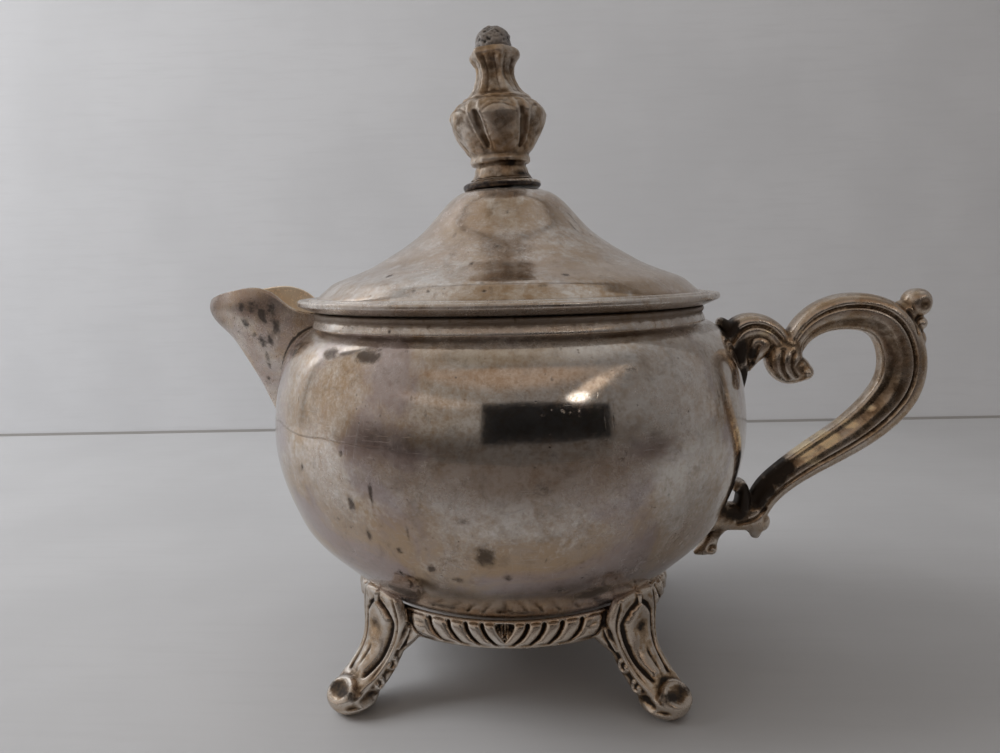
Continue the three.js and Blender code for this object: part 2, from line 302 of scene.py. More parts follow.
def bar(points, thick, wide, section, steps=120, cap_rows=6):
    """A closed bar along a curve in the XZ plane, with rounded ends. Returns points and faces."""
    line = flat_curve(points, steps)
    side = frame_along(line)
    t = np.linspace(0, 1, steps)
    a, b = table(thick)(t)[:, None], table(wide)(t)[:, None]
    body = line[:, None, :] + side[:, None, :] * (a * section[:, 0])[..., None]
    body[..., 1] += b * section[:, 1]
    along = tangents(line)
    rows = [end_rows(body[0], line[0], -along[0], a[0, 0], cap_rows)[::-1]]
    rows.append(body)
    rows.append(end_rows(body[-1], line[-1], along[-1], a[-1, 0], cap_rows))
    grid = np.concatenate(rows)
    return closed_grid(grid, grid[0].mean(0), grid[-1].mean(0))


def end_rows(ring, centre, outward, reach, count):
    """Shrinking copies of an end ring, which round the end off."""
    turns = np.linspace(0, math.pi / 2, count + 1)[1:] * 0.97
    rows = [centre + (ring - centre) * math.cos(t) + outward * reach * math.sin(t) for t in turns]
    return np.array(rows)


def ellipsoid(centre, radii, turn=0.0, power=1.0, sides=40):
    """A closed rounded lump, turned about Y. Power under 1 squares it off."""
    rows = np.linspace(-math.pi / 2, math.pi / 2, sides // 2)[1:-1, None]
    around = full_turn(sides)

    def shaped(value):
        return np.sign(value) * np.abs(value) ** power

    x = shaped(np.cos(rows)) * shaped(np.cos(around))
    y = shaped(np.cos(rows)) * shaped(np.sin(around))
    z = shaped(np.sin(rows)) + 0 * around
    grid = np.stack([x * radii[0], y * radii[1], z * radii[2]], axis=-1)
    points, faces = closed_grid(grid, [0, 0, -radii[2]], [0, 0, radii[2]])
    cosine, sine = math.cos(turn), math.sin(turn)
    rotated = points.copy()
    rotated[:, 0] = points[:, 0] * cosine + points[:, 2] * sine
    rotated[:, 2] = points[:, 2] * cosine - points[:, 0] * sine
    return rotated + np.array(centre, float), faces


def joined(parts):
    points, faces, start = [], [], 0
    for part_points, part_faces in parts:
        points.append(part_points)
        faces.extend([[i + start for i in face] for face in part_faces])
        start += len(part_points)
    return np.concatenate(points), faces


def cast(name, parts, voxel, soften=4):
    """Fuses overlapping closed parts into one skin, as a casting is one piece of metal."""
    points, faces = joined(parts)
    piece = mesh_object(name, points, faces)
    remesh = piece.modifiers.new("fuse", "REMESH")
    remesh.mode = "VOXEL"
    remesh.voxel_size = voxel
    remesh.use_smooth_shade = True
    soft = piece.modifiers.new("soften", "SMOOTH")
    soft.factor = 0.5
    soft.iterations = soften
    bpy.context.view_layer.update()
    graph = bpy.context.evaluated_depsgraph_get()
    mesh = bpy.data.meshes.new_from_object(piece.evaluated_get(graph))
    piece.modifiers.clear()
    piece.data = mesh
    mesh.name = name
    return piece


def read(elements, key, width, kind=np.float32):
    values = np.zeros(len(elements) * width, kind)
    elements.foreach_get(key, values)
    return values.reshape(-1, width)


def corners_of(piece):
    return read(piece.data.vertices, "co", 3).astype(float)


def normals_of(piece):
    return read(piece.data.vertex_normals, "vector", 3).astype(float)


def edges_of(piece):
    return read(piece.data.edges, "vertices", 2, np.int32)


def set_corners(piece, co):
    piece.data.vertices.foreach_set("co", co.astype(np.float32).ravel())
    piece.data.update()


def relaxed(co, edges, rounds, factor=0.5):
    """Corners pulled towards the mean of their neighbours, again and again."""
    count = len(co)
    ends = np.concatenate([edges[:, 0], edges[:, 1]])
    others = np.concatenate([edges[:, 1], edges[:, 0]])
    share = np.maximum(np.bincount(ends, minlength=count), 1)[:, None]
    for _ in range(rounds):
        neighbours = co[others]
        sums = [np.bincount(ends, weights=neighbours[:, k], minlength=count) for k in range(3)]
        co = co + factor * (np.stack(sums, axis=1) / share - co)
    return co


def carve(piece, depth_at, polish=1):
    """Moves the skin along its normals by depth_at(corners), which is negative inwards."""
    co = corners_of(piece)
    moved = co + normals_of(piece) * depth_at(co, normals_of(piece))[:, None]
    if polish:
        moved = relaxed(moved, edges_of(piece), polish, 0.4)
    set_corners(piece, moved)


def note_hollows(piece, rounds=36, depth=0.36):
    """Stores how far each corner lies below its softened surroundings, from -1 to 1."""
    co = corners_of(piece)
    soft = relaxed(co, edges_of(piece), rounds)
    hollow = ((soft - co) * normals_of(piece)).sum(axis=1) / depth
    hollow = relaxed(np.repeat(np.clip(hollow, -1, 1)[:, None], 3, 1), edges_of(piece), 1)[:, 0]
    store(piece, "hollow", hollow)


def distance_to_line(co, line):
    """The distance of every corner from a drawn line of points."""
    best = np.full(len(co), 1e9)
    for a, b in zip(line[:-1], line[1:]):
        run = b - a
        t = np.clip(((co - a) @ run) / max(run @ run, 1e-9), 0, 1)
        best = np.minimum(best, np.linalg.norm(co - a - t[:, None] * run, axis=1))
    return best


def ridge(co, line, width):
    """A rounded bead of height 1 along a line."""
    return bell(distance_to_line(co, np.asarray(line, float)), 0, width)


# ---------------------------------------------------------------- bowl, rim and spout

BOWL_OUTLINE = [
    [0, 12.8], [6, 12.8], [12.5, 12.95], [18, 13.55], [24, 15.0], [31, 18.4], [38.1, 24.0],
    [42.2, 28.0], [46.4, 32.2], [49.2, 36.0], [51, 40.0], [52.5, 44], [53.7, 48.2], [54.4, 52],
    [54.65, 57], [54.3, 62], [53.5, 67.2], [52.3, 71.8], [51, 75.0], [49.6, 77], [47.8, 78.6],
    [46.1, 79.6], [44.5, 80.3],
]
NECK_RADIUS = 43.7
NECK_FOOT = 80.9
NECK_MIDDLE = 82.2
SPOUT_REACH = [
    [54.2, 51], [57.6, 58.5], [60.9, 66.2], [64.0, 72], [67.8, 77.9], [70.9, 81.1], [72.2, 83.9],
    [69.0, 89.5],
]
SPOUT_HALF_WIDTH = [0.9, 3.2, 5.8, 8.3, 10.6, 12.4, 13.2, 13.4]
SPOUT_EDGE = [
    [41, 82.6], [46.2, 83.1], [48.8, 84.2], [52.5, 87], [57.5, 88.6], [62.5, 88.1], [67, 87.3],
    [70.5, 86.2], [73, 84.9], [80, 80],
]
# Dark spots on the spout: place along X, height, reach along, reach up, strength.
SPOUT_STAINS = [
    [-60.6, 84.6, 1.3, 1.3, 0.8], [-60.2, 80.9, 1.2, 1.6, 0.8], [-57.8, 84.7, 1.6, 1.4, 0.85],
    [-55.6, 82.6, 1.8, 2.0, 0.9], [-53.0, 84.2, 1.4, 2.6, 0.85], [-52.4, 80.0, 1.6, 2.8, 0.85],
    [-56.6, 76.6, 1.6, 1.8, 0.75], [-54.4, 77.0, 1.0, 2.0, 0.75], [-56.4, 72.0, 1.0, 2.4, 0.65],
    [-58.6, 78.0, 0.9, 1.0, 0.65], [-63.0, 82.0, 0.8, 0.9, 0.55], [-57.4, 67.0, 1.0, 2.0, 0.5],
]
SPOUT_ROOT = 40.0
NOTCH_BOTTOM = 66.0
# The notch lies within this angle of the spout's middle, in radians.
NOTCH_REACH = 0.4
# The bowl has finer columns beyond this azimuth, in degrees.
FINE_FROM = 160

bowl_section = Spline(BOWL_OUTLINE).line(150)
reach_line = Spline(SPOUT_REACH).line(200)
edge_line = Spline(SPOUT_EDGE).line(200)


def bowl_radius(height):
    upper = np.interp(height, bowl_section[20:, 1], bowl_section[20:, 0])
    return np.where(height > bowl_section[-1, 1], NECK_RADIUS, upper)


def spout_reach(height):
    return np.interp(height, reach_line[:, 1], reach_line[:, 0])


def spout_half_width(height):
    place = np.interp(height, reach_line[:, 1], np.linspace(0, 1, len(reach_line)))
    return table(SPOUT_HALF_WIDTH)(place)


def notch_height(azimuth):
    """How high the bowl's wall reaches at an azimuth: it is cut away behind the spout."""
    inset = SPOUT_WALL + BOWL_WALL
    heights = np.linspace(NOTCH_BOTTOM, NECK_TOP, 120)
    away = abs(abs(azimuth) - math.pi)
    if away > NOTCH_REACH:
        return NECK_TOP
    radius = bowl_radius(heights)
    forward = radius * math.cos(away) - SPOUT_ROOT
    across = radius * math.sin(away)
    long = np.maximum(spout_reach(heights) - SPOUT_ROOT - inset, 0.5)
    wide = np.maximum(spout_half_width(heights) - inset, 0.3)
    inside = (forward / long) ** 2 + (across / wide) ** 2 < 1
    return heights[np.argmax(inside)] if inside.any() else NECK_TOP


def bowl_profile():
    """The bowl's section: up the outside, over the rim and down the inside."""
    outer = bowl_section[1:]
    neck = [[NECK_RADIUS, NECK_FOOT], [NECK_RADIUS, NECK_MIDDLE], [NECK_RADIUS, NECK_TOP - 0.25]]
    lip = [[NECK_RADIUS - 0.3, NECK_TOP], [NECK_RADIUS - 0.7, NECK_TOP]]
    inside = NECK_RADIUS - BOWL_WALL
    down = [[inside, NECK_TOP - 0.25], [inside, NECK_MIDDLE], [inside, NECK_FOOT - 0.3]]
    inner = offset_profile(bowl_section, -BOWL_WALL)[::-1]
    inner = inner[(inner[:, 1] < NECK_FOOT - 0.8) & (inner[:, 0] > 0.4)]
    return np.concatenate([outer, neck, lip, down, inner])


def bowl_shell():
    profile = bowl_profile()
    fine = np.radians(np.arange(FINE_FROM, 360 - FINE_FROM, 0.25))
    coarse = np.radians(np.arange(-FINE_FROM, FINE_FROM, 1.0))
    azimuths = np.concatenate([coarse, fine])[None, :]
    grid = turned_grid(profile, azimuths)
    tops = np.array([notch_height(math.remainder(a, 2 * math.pi)) for a in azimuths[0]])
    low = NOTCH_BOTTOM - 2
    squeezed = low + (grid[..., 2] - low) * (tops - low) / (NECK_TOP - low)
    height = np.where(grid[..., 2] > low, squeezed, grid[..., 2])
    inner = np.arange(len(profile))[:, None] > len(bowl_section) + 4
    radius = np.where(inner, bowl_radius(height) - BOWL_WALL, bowl_radius(height))
    cut = (tops < NECK_TOP)[None, :] & (grid[..., 2] > low)
    lip = (np.arange(len(profile))[:, None] > len(bowl_section) + 1) & ~inner
    radius = np.where(lip, radius - BOWL_WALL / 2, radius)
    grid[..., 0] = np.where(cut, radius * np.cos(azimuths), grid[..., 0])
    grid[..., 1] = np.where(cut, radius * np.sin(azimuths), grid[..., 1])
    grid[..., 2] = height
    bottom = bowl_section[0, 1]
    return mesh_object("bowl_shell", *closed_grid(grid, [0, 0, bottom], [0, 0, bottom + BOWL_WALL]))


# The rim wire's face, from its foot up: distance in from its outer radius, and below its top.
WIRE_FACE = [
    [0.30, 3.46], [0.06, 3.36], [0.0, 3.1], [0.10, 2.65], [0.28, 2.25], [0.46, 1.85], [0.60, 1.55],
    [0.62, 1.35], [0.42, 1.12], [0.28, 0.85], [0.25, 0.6], [0.32, 0.32], [0.5, 0.1], [0.75, 0.0],
]
# Half the gap that the wire leaves for the spout, in degrees.
WIRE_HALF_GAP = 16.6


def wire_profile():
    """The wire soldered round the neck: a small bead over a band that slopes out to its foot."""
    _, top, outer = ring_box("bowl_rim_wire")
    high = top + 0.02
    face = [[outer - inward, high - down] for inward, down in WIRE_FACE]
    inner = NECK_RADIUS - 0.1
    return np.array([[inner, face[0][1]]] + face + [[inner, high]])


def rim_moulding():
    half_gap = math.radians(WIRE_HALF_GAP)
    azimuths = np.linspace(-math.pi + half_gap, math.pi - half_gap, 260)[None, :]
    return mesh_object("rim_moulding", *capped_sweep(turned_grid(wire_profile(), azimuths)))


SEAM_DIRT_REACH = 0.9
SPOUT_ROWS = 44
SPOUT_TURNS = np.radians(np.linspace(3, 177, 117))
SPOUT_HEIGHTS = np.linspace(51.5, 90, 600)
# The spout's edge is only cut above this height, and its skin is never shorter than this.
LIP_START = 80
SHORTEST_SKIN = 0.6
# How far the spout's outer skin sinks into the bowl's wall.
SPOUT_SINK = 0.35


def spout_point(height, turn, inset):
    """A point of the spout's oval at a height. Turn runs from one side to the other."""
    long = np.maximum(spout_reach(height) - SPOUT_ROOT - inset, 0.4)
    wide = np.maximum(spout_half_width(height) - inset, 0.25)
    x = -SPOUT_ROOT - long * np.sin(turn)
    return np.stack([x, wide * np.cos(turn), height + 0 * turn], axis=-1)


def spout_column(turn, inset, sink):
    """The lowest and highest height of the spout's skin at one turn."""
    heights = SPOUT_HEIGHTS
    points = spout_point(heights, np.full_like(heights, turn), inset)
    outside = np.hypot(points[:, 0], points[:, 1]) > bowl_radius(heights) - sink
    outside |= heights > NECK_TOP
    low = heights[np.argmax(outside)]
    edge = np.interp(-points[:, 0], edge_line[:, 0], edge_line[:, 1])
    above = (heights > edge) & (heights > LIP_START)
    high = heights[np.argmax(above)] if above.any() else heights[-1]
    return low, high


def spout_side(turn, low, high, inset):
    """One line of points up the spout's skin."""
    low = min(low, high - SHORTEST_SKIN)
    heights = low + (high - low) * np.linspace(0, 1, SPOUT_ROWS)
    return spout_point(heights, np.full(SPOUT_ROWS, turn), inset)


def spout_shell():
    outer, inner = [], []
    for turn in SPOUT_TURNS:
        low, high = spout_column(turn, 0, SPOUT_SINK)
        outer.append(spout_side(turn, low, high, 0))
        low, _ = spout_column(turn, SPOUT_WALL, BOWL_WALL * 0.9)
        inner.append(spout_side(turn, low, high, SPOUT_WALL))
    outer = np.array(outer).transpose(1, 0, 2)
    inner = np.array(inner).transpose(1, 0, 2)[::-1]
    lip = []
    for t in np.linspace(0, math.pi, 9)[1:-1]:
        across = (outer[-1] + inner[0]) / 2 + (outer[-1] - inner[0]) / 2 * math.cos(t)
        across[:, 2] += 0.34 * math.sin(t)
        lip.append(across)
    grid = np.concatenate([outer, np.array(lip), inner])
    piece = mesh_object("spout_shell", *capped_sweep(grid))
    inside = np.zeros(grid.shape[:2])
    inside[SPOUT_ROWS + 4 :] = 1
    store(piece, "inside", inside.ravel())
    co = corners_of(piece)
    gap = np.hypot(co[:, 0], co[:, 1]) - bowl_radius(co[:, 2])
    seam = bell(gap, 0, SEAM_DIRT_REACH)
    store(piece, "stain", np.maximum(seam, blobs(co[:, 0], co[:, 2], SPOUT_STAINS)))
    return piece


# ---------------------------------------------------------------- handle

HANDLE_LOOP = [
    [65.9, 71.0], [67.9, 75.4], [72.4, 79.2], [79.8, 80.7], [87, 78.4], [91.0, 71.6], [90.8, 64.0],
    [86.4, 57.1], [79.6, 51.3], [72.8, 46.9], [65.8, 42], [60.6, 36.6], [58.2, 29.4],
]
LOOP_THICK = [2.2, 3.2, 4.1, 4.4, 4.8, 5.1, 5.1, 4.7, 4.2, 3.8, 3.4, 3.1, 2.0]
LOOP_WIDE = [3.2, 3.8, 4.2, 4.4, 4.4, 4.4, 4.3, 4.1, 3.9, 3.7, 3.5, 3.2, 2.5]
# Lines sunk in the handle's two faces: place across the face from -1 inside to 1 outside, depth
# and width.
LOOP_GROOVES = [[0.30, 0.26, 0.07], [-0.08, 0.12, 0.06], [-0.66, 0.34, 0.38]]
SCROLL_GROOVES = [[0.22, 0.26, 0.09], [-0.7, 0.26, 0.3]]
# Tarnish and painted highlights on the handle: place along X, height, reach along, reach up,
# strength. Negative marks are painted yellow highlights, standing for reflections of something
# warm and bright.
HANDLE_TARNISH_AND_SHEEN = [
    [51.2, 77.6, 2.8, 3.0, 1.2], [53.8, 71.6, 2.2, 4.4, 1.2], [54.9, 66.0, 1.8, 3.4, 1.2],
    [56.6, 71.4, 1.8, 2.0, 1.0], [57.0, 69.0, 1.4, 2.0, 0.7], [58.6, 36.4, 2.6, 3.0, 1.3],
    [60.4, 39.4, 2.8, 3.0, 1.3], [62.6, 42.0, 3.0, 2.6, 1.3], [65.0, 44.2, 2.6, 2.2, 1.3],
    [55.6, 37.0, 2.8, 4.4, 1.3], [54.0, 33.2, 3.4, 2.2, 1.1], [50.0, 34.0, 3.4, 1.8, 0.9],
    [89.2, 70.6, 2.2, 6.0, 0.42], [88.6, 63.6, 2.4, 4.6, 0.44], [84.8, 58.0, 3.4, 2.6, 0.40],
    [80.0, 78.4, 5.0, 1.6, 0.30], [93.9, 82.6, 1.6, 1.6, 0.40], [93.4, 77.6, 2.0, 2.0, 0.42],
    [63.6, 68.6, 3.0, 3.0, 0.40], [69.0, 48.8, 3.4, 2.4, -1.1], [74.4, 51.0, 3.4, 2.2, -0.95],
    [79.0, 54.6, 2.6, 1.6, -0.8], [70.8, 46.0, 2.6, 1.2, -0.8], [60.0, 76.4, 3.4, 1.4, -0.55],
    [83.6, 58.4, 2.0, 1.2, -0.6], [67.6, 76.8, 1.6, 2.4, -0.4], [65.0, 68.4, 2.8, 3.6, 0.46],
    [49.4, 27.2, 2.6, 3.0, 0.55],
]


# Each branch and leaf of the handle: its line, its thickness and its width along the line.
HANDLE_BRANCH = [
    [[52.4, 74.0], [54.8, 76.6], [58.8, 77.0], [62.4, 74.4], [64.5, 70.0]],
    [3.2, 3.6, 3.2, 3.0, 2.8], [4.2, 4.2, 3.8, 3.6, 3.6],
]
HANDLE_LEAVES = [
    [[[64.9, 73.0], [64.4, 69.6], [65.4, 67.6], [67.4, 67.4]], [3.8, 4.2, 3.8, 3.2], [3.6, 4.3, 4.3, 3.8]],
    [[[50.0, 78.6], [52.6, 75.6], [54.2, 71.0], [54.9, 66.4], [55, 62.8]],
     [1.2, 2.2, 2.0, 1.4, 0.6], [2.8, 3.8, 3.6, 2.6, 0.9]],
    [[[58.6, 73.6], [57.2, 71.0], [56.7, 67.4]], [3.2, 2.5, 0.5], [3.6, 3.0, 0.8]],
    [[[55.4, 74.6], [56.4, 70.6]], [2.4, 1.6], [3.2, 2.6]],
    [[[60.0, 30.4], [55.6, 31.4], [50.4, 31.6], [44, 30.6]], [2.4, 3.2, 3.4, 4], [2.9, 3.3, 3.6, 4.4]],
    [[[55.4, 32], [55.9, 36], [55.0, 39.8], [53.9, 38.6]], [1.9, 1.8, 1.2, 0.8], [3.2, 3.4, 3.2, 3.0]],
    [[[50.6, 30], [48.8, 26.6], [47.6, 24], [44.8, 22.4]], [2.2, 1.5, 1.6, 0.5], [3.2, 2.4, 2.6, 1.2]],
    [[[57.8, 32.4], [58.7, 29.4], [58.9, 27.4]], [3.4, 2.5, 1.3], [3.4, 3.1, 2.0]],
]
# Rounded knobs on the handle: centre, radii, turn and power.
HANDLE_KNOBS = [
    [[94.1, 0, 82.4], [3.3, 3.4, 3.3], 0.0, 0.9], [[91.4, 0, 80.2], [3.0, 3.1, 2.7], 0.8, 1.0],
    [[94.9, 0, 77.7], [1.7, 2.6, 1.7], 0.0, 1.0], [[95.1, 0, 74.0], [1.4, 2.4, 2.2], 0.0, 1.0],
    [[69.2, 0, 66.8], [2.0, 4.5, 2.1], 0.0, 1.0], [[48.2, 0, 23.8], [1.8, 3.0, 1.8], 0.0, 1.0],
]
# Lines cut along the handle's scrolls, as [x, z] points.
HANDLE_FLUTES = [
    [[63.4, 72.0], [63.2, 68.4], [64.6, 65.4]], [[65.8, 71.4], [65.4, 68.8], [66.6, 66.2]],
    [[57.8, 73.2], [57.2, 70.6], [56.8, 68.6]], [[91.2, 80.6], [92.6, 78.4], [93.4, 75.6]],
    [[60.6, 34.2], [57.6, 31.6], [54.2, 30.6]], [[57.2, 34.6], [57.0, 37.6], [56.2, 40.0]],
]


def handle_parts():
    fluted = grooved(squared_section(120), LOOP_GROOVES)
    scrolled = grooved(squared_section(96), SCROLL_GROOVES)
    plain = squared_section(64, 0.75)
    parts = [bar(HANDLE_LOOP, LOOP_THICK, LOOP_WIDE, fluted, steps=260), bar(*HANDLE_BRANCH, scrolled)]
    parts += [bar(*leaf, plain) for leaf in HANDLE_LEAVES]
    return parts + [ellipsoid(*knob) for knob in HANDLE_KNOBS]


def wound_line(centre, radius, turns, start, count=40):
    """A flat spiral in the XZ plane that winds in towards its centre."""
    t = np.linspace(0, 1, count)
    angle = start + turns * 2 * math.pi * t
    reach = radius * (1 - 0.85 * t)
    return np.stack([centre[0] + reach * np.cos(angle), 0 * t, centre[1] + reach * np.sin(angle)], axis=1)


def handle_carving(co, normals):
    flat = co * [1, 0, 1]
    face = np.clip(np.abs(normals[:, 1]) * 1.6 - 0.4, 0, 1)
    knob = bell(co[:, 0], 94.9, 1.2) * bell(co[:, 2], 82.2, 1.3)
    tail = ridge(flat, wound_line([48.2, 23.8], 1.2, 0.8, 0.6), 0.36)
    lines = sum(ridge(flat, flat_curve(flute, 12), 0.42) for flute in HANDLE_FLUTES)
    depth = -0.6 * knob - 0.5 * tail - 0.5 * np.clip(lines, 0, 1)
    return depth * face


def handle_casting():
    piece = cast("handle_casting", handle_parts(), voxel=0.26)
    carve(piece, handle_carving)
    note_hollows(piece)
    mark(piece, "tarnish_and_sheen", HANDLE_TARNISH_AND_SHEEN)
    return piece


# ---------------------------------------------------------------- feet

GALLERY_RADIUS = 36.6
GALLERY_BOTTOM = 15.5
SEAM = math.radians(45)
# The gadroons of half a gallery side, as azimuths in degrees from the leg's middle to the seam.
GADROON_LINES = [12.0, 20.6, 27.6, 33.6, 39.0, 43.8]
GADROON_SLANT = 1.1
FOOT_TARNISH = [[49.2, 5.4, 2.0, 1.9, 0.75], [37.6, 21.0, 2.4, 1.8, 0.35], [44.5, 2.0, 3.0, 1.2, 0.35]]
TOE_HOLLOWS = [
    [[49.4, 0, 5.2], [2.6, 3.2, 2.6], 1.1], [[45.4, 5.0, 3.8], [2.6, 1.8, 1.5], 0.6],
    [[45.4, -5.0, 3.8], [2.6, 1.8, 1.5], 0.6],
]
LEG_LINE = [[38.0, 23.2], [37.3, 18], [37.9, 13.5], [40.0, 9.4], [43.4, 6.2], [46.2, 4.4]]
LEG_THICK = [1.4, 1.9, 2.1, 2.2, 2.4, 2.2]
LEG_WIDE = [6.4, 7.6, 6.9, 6.0, 5.6, 5.0]
FOOT_TURNS = {"back_right": 45, "back_left": 135, "front_left": 225, "front_right": 315}


def gallery_part():
    """The quarter ring between two seams, a closed bar of the gallery's section."""
    outline = [
        [-2.0, 0.0], [-0.3, 0.0], [0.2, 0.4], [0.3, 1.2], [0.35, 2.2], [0.4, 3.4], [0.25, 4.6],
        [-0.15, 5.2], [-0.1, 5.75], [-0.6, 6.0], [-1.4, 5.7], [-2.3, 4.6],
    ]
    section = rounded(outline, 0.3, 4) + [GALLERY_RADIUS, GALLERY_BOTTOM]
    azimuths = np.linspace(-SEAM - 0.004, SEAM + 0.004, 150)[None, :]
    return capped_sweep(turned_grid(section, azimuths))


def foot_parts():
    strips = squared_section(140, 0.55)
    return [
        gallery_part(),
        bar(LEG_LINE, LEG_THICK, LEG_WIDE, strips, steps=140),
        ellipsoid([46.2, 0, 3.6], [5.4, 5.5, 3.55], turn=0.16, power=0.95, sides=72),
        ellipsoid([44.8, 0, 1.6], [3.3, 3.5, 1.6], power=0.8, sides=48),
        bar([[35.9, 17.0], [38.4, 12.4], [42.2, 7.0]], [1.2, 1.5, 1.6], [6.6, 5.2, 4.4],
            squared_section(48, 0.7), steps=60),
        bar([[35.2, 18.6], [35.6, 15.8], [36.8, 13.2], [38.4, 11.0]], [1.3, 1.4, 1.3, 1.0],
            [11.4, 9.6, 7.4, 5.4], squared_section(64, 0.8), steps=60),
    ]


def gadroon_depth(co):
    """Slanting lobes with deep lines between them, on the gallery's outer face."""
    radius = np.hypot(co[:, 0], co[:, 1])
    away = np.degrees(np.abs(np.arctan2(co[:, 1], co[:, 0])))
    rise = co[:, 2] - GALLERY_BOTTOM
    place = away + GADROON_SLANT * (rise - 3.2) - 0.22 * (rise - 3.2) ** 2
    depth = np.zeros(len(co))
    for low, high in zip(GADROON_LINES[:-1], GADROON_LINES[1:]):
        t = np.clip((place - low) / (high - low), 0, 1)
        lobe = np.clip(1 - np.abs(2 * t - 1) ** 3.2, 0, 1) ** 0.6
        inside = (place >= low) & (place < high)
        depth = np.where(inside, 0.5 * lobe - 1.5 * (1 - lobe), depth)
    depth -= 1.0 * smoothstep(place, 43.6, 44.4) * smoothstep(rise, 2.0, 3.4)
    face = band(rise, 0.8, 1.7, 5.1, 5.5)
    outer = smoothstep(radius, GALLERY_RADIUS - 1.5, GALLERY_RADIUS - 0.6)
    beside_leg = smoothstep(away, 11.4, 12.6)
    return depth * face * outer * beside_leg


def leg_place(co):
    """Each corner's fraction down the leg's line, and how far it stands out in front of it."""
    line = flat_curve(LEG_LINE, 120)
    side = frame_along(line)
    flat = co * [1, 0, 1]
    gaps = ((flat[:, None, :] - line[None, :, :]) ** 2).sum(axis=2)
    nearest = gaps.argmin(axis=1)
    ahead = ((flat - line[nearest]) * side[nearest]).sum(axis=1)
    return nearest / 119, ahead


def foot_carving(co, normals):
    t, ahead = leg_place(co)
    half = table(LEG_WIDE)(t)
    across = np.abs(co[:, 1]) / half
    front = smoothstep(ahead / table(LEG_THICK)(t), 0.35, 0.85)
    above_toe = 1 - smoothstep(t, 0.80, 0.92)
    leg = front * above_toe
    leaf = 0.52 * np.sqrt(np.clip((t - 0.05) / 0.16, 0.004, 1)) * (1 - 0.25 * smoothstep(t, 0.6, 0.9))
    edge = across / leaf
    crown = 0.95 * np.clip(1 - edge**2, 0, 1) ** 0.6
    border = 0.85 * bell(across, leaf + 0.10, 0.09) * smoothstep(t, 0.02, 0.08)
    fine = 0.35 * bell(across, 0.84, 0.05)
    dimple = 0.45 * bell(across, 0, 0.24) * bell(t, 0.30, 0.08)
    vein = 0.25 * bell(across, 0, 0.07) * smoothstep(t, 0.5, 0.6)
    depth = leg * (crown - border - fine - dimple - vein)
    return depth + toe_carving(co) + flank_carving(co, normals, t, ahead) + gadroon_depth(co)


def toe_carving(co):
    """A soft hollow on the front of the toe and a smaller one on each side."""
    depth = np.zeros(len(co))
    for centre, reach, sink in TOE_HOLLOWS:
        out = np.linalg.norm((co - centre) / reach, axis=1)
        depth -= sink * np.clip(1 - out**2, 0, 1) ** 1.3
        depth += 0.15 * sink * bell(out, 1.12, 0.2)
    return depth


def flank_carving(co, normals, t, ahead):
    """Leaf and C-scroll lines on the leg's two sides, on a sunk ground."""
    mirrored = co * [1, 0, 1]
    side = smoothstep(np.abs(normals[:, 1]), 0.45, 0.8) * (co[:, 2] > 2.5)
    leaf = flat_curve([[36.6, 17.5], [37.4, 15.0], [38.6, 13.0]], 10)
    scroll = wound_line([40.2, 9.6], 1.5, 0.8, 2.2, 24)
    lower = wound_line([43.2, 6.2], 1.3, 0.8, 2.2, 24)
    drawn = ridge(mirrored, leaf, 0.4)
    drawn += ridge(mirrored, scroll, 0.36) + ridge(mirrored, lower, 0.36)
    ground = np.clip((t - 0.2) / 0.1, 0, 1) * bell(ahead, 0, 1.4)
    return side * (-0.55 * ground + 0.7 * np.clip(drawn, 0, 1))


def foot_casting():
    piece = cast("foot_casting", foot_parts(), voxel=0.22)
    carve(piece, foot_carving)
    co = corners_of(piece)
    co[:, 2] = np.maximum(co[:, 2], 0.0)
    set_corners(piece, co)
    note_hollows(piece)
    mark(piece, "tarnish_and_sheen", FOOT_TARNISH)
    return piece


def feet():
    """Four copies of one casting, which meet at the seams of the gallery."""
    first = foot_casting()
    shape = first.data.copy()
    pieces = {}
    for name, turn in FOOT_TURNS.items():
        piece = first
        if pieces:
            piece = bpy.data.objects.new("foot", shape.copy())
            bpy.context.scene.collection.objects.link(piece)
        piece.name = "foot_casting_" + name
        piece.data.transform(Matrix.Rotation(math.radians(turn), 4, "Z"))
        pieces[name] = piece
    return pieces


# ---------------------------------------------------------------- lid and finial

DOME_OUTLINE = [
    [44.35, 85.0], [44.2, 85.8], [43.25, 87], [42.1, 88], [40.9, 89], [38.9, 90], [36.2, 91],
    [33.6, 92], [31.3, 93], [29.5, 94], [27.8, 95], [24.5, 97], [21.6, 99], [19.2, 101],
    [17.3, 103], [15.5, 105], [13.7, 107], [12.3, 108.2], [10.8, 109.2], [9.2, 109.8], [7.0, 110.0],
    [4.5, 110.0],
]
STUD_HOLE = 1.8


def lid_shell():
    outer = Spline(DOME_OUTLINE).line(110)
    top = ring_box("lid_dome")[1]
    inner = offset_profile(outer, -LID_WALL)[::-1]
    inner = inner[(inner[:, 1] < top - LID_WALL + 0.05)]
    hole = [[STUD_HOLE, top], [STUD_HOLE, top - 0.2], [STUD_HOLE, top - LID_WALL]]
    return turned_ring("lid_shell", np.concatenate([outer, hole, inner]))


def lid_moulding():
    """The flared edge: a seat, a slanting underside, a rounded rim and a stepped top."""
    low, high, outer = ring_box("lid_edge")
    inside = BEZEL_RADIUS + 0.3
    profile = rounded([
        [inside, low], [45.6, low], [outer - 0.5, low + 1.05], [outer, low + 1.35],
        [outer + 0.02, low + 2.15], [outer - 0.5, high - 0.05], [47.2, high - 0.35],
        [46.3, high - 0.3], [45.9, high + 0.15], [44.9, high + 0.25], [44.2, high - 0.1],
        [44.2, low + 1.1], [inside, low + 1.1],
    ], 0.34)
    return turned_ring("lid_moulding", profile)


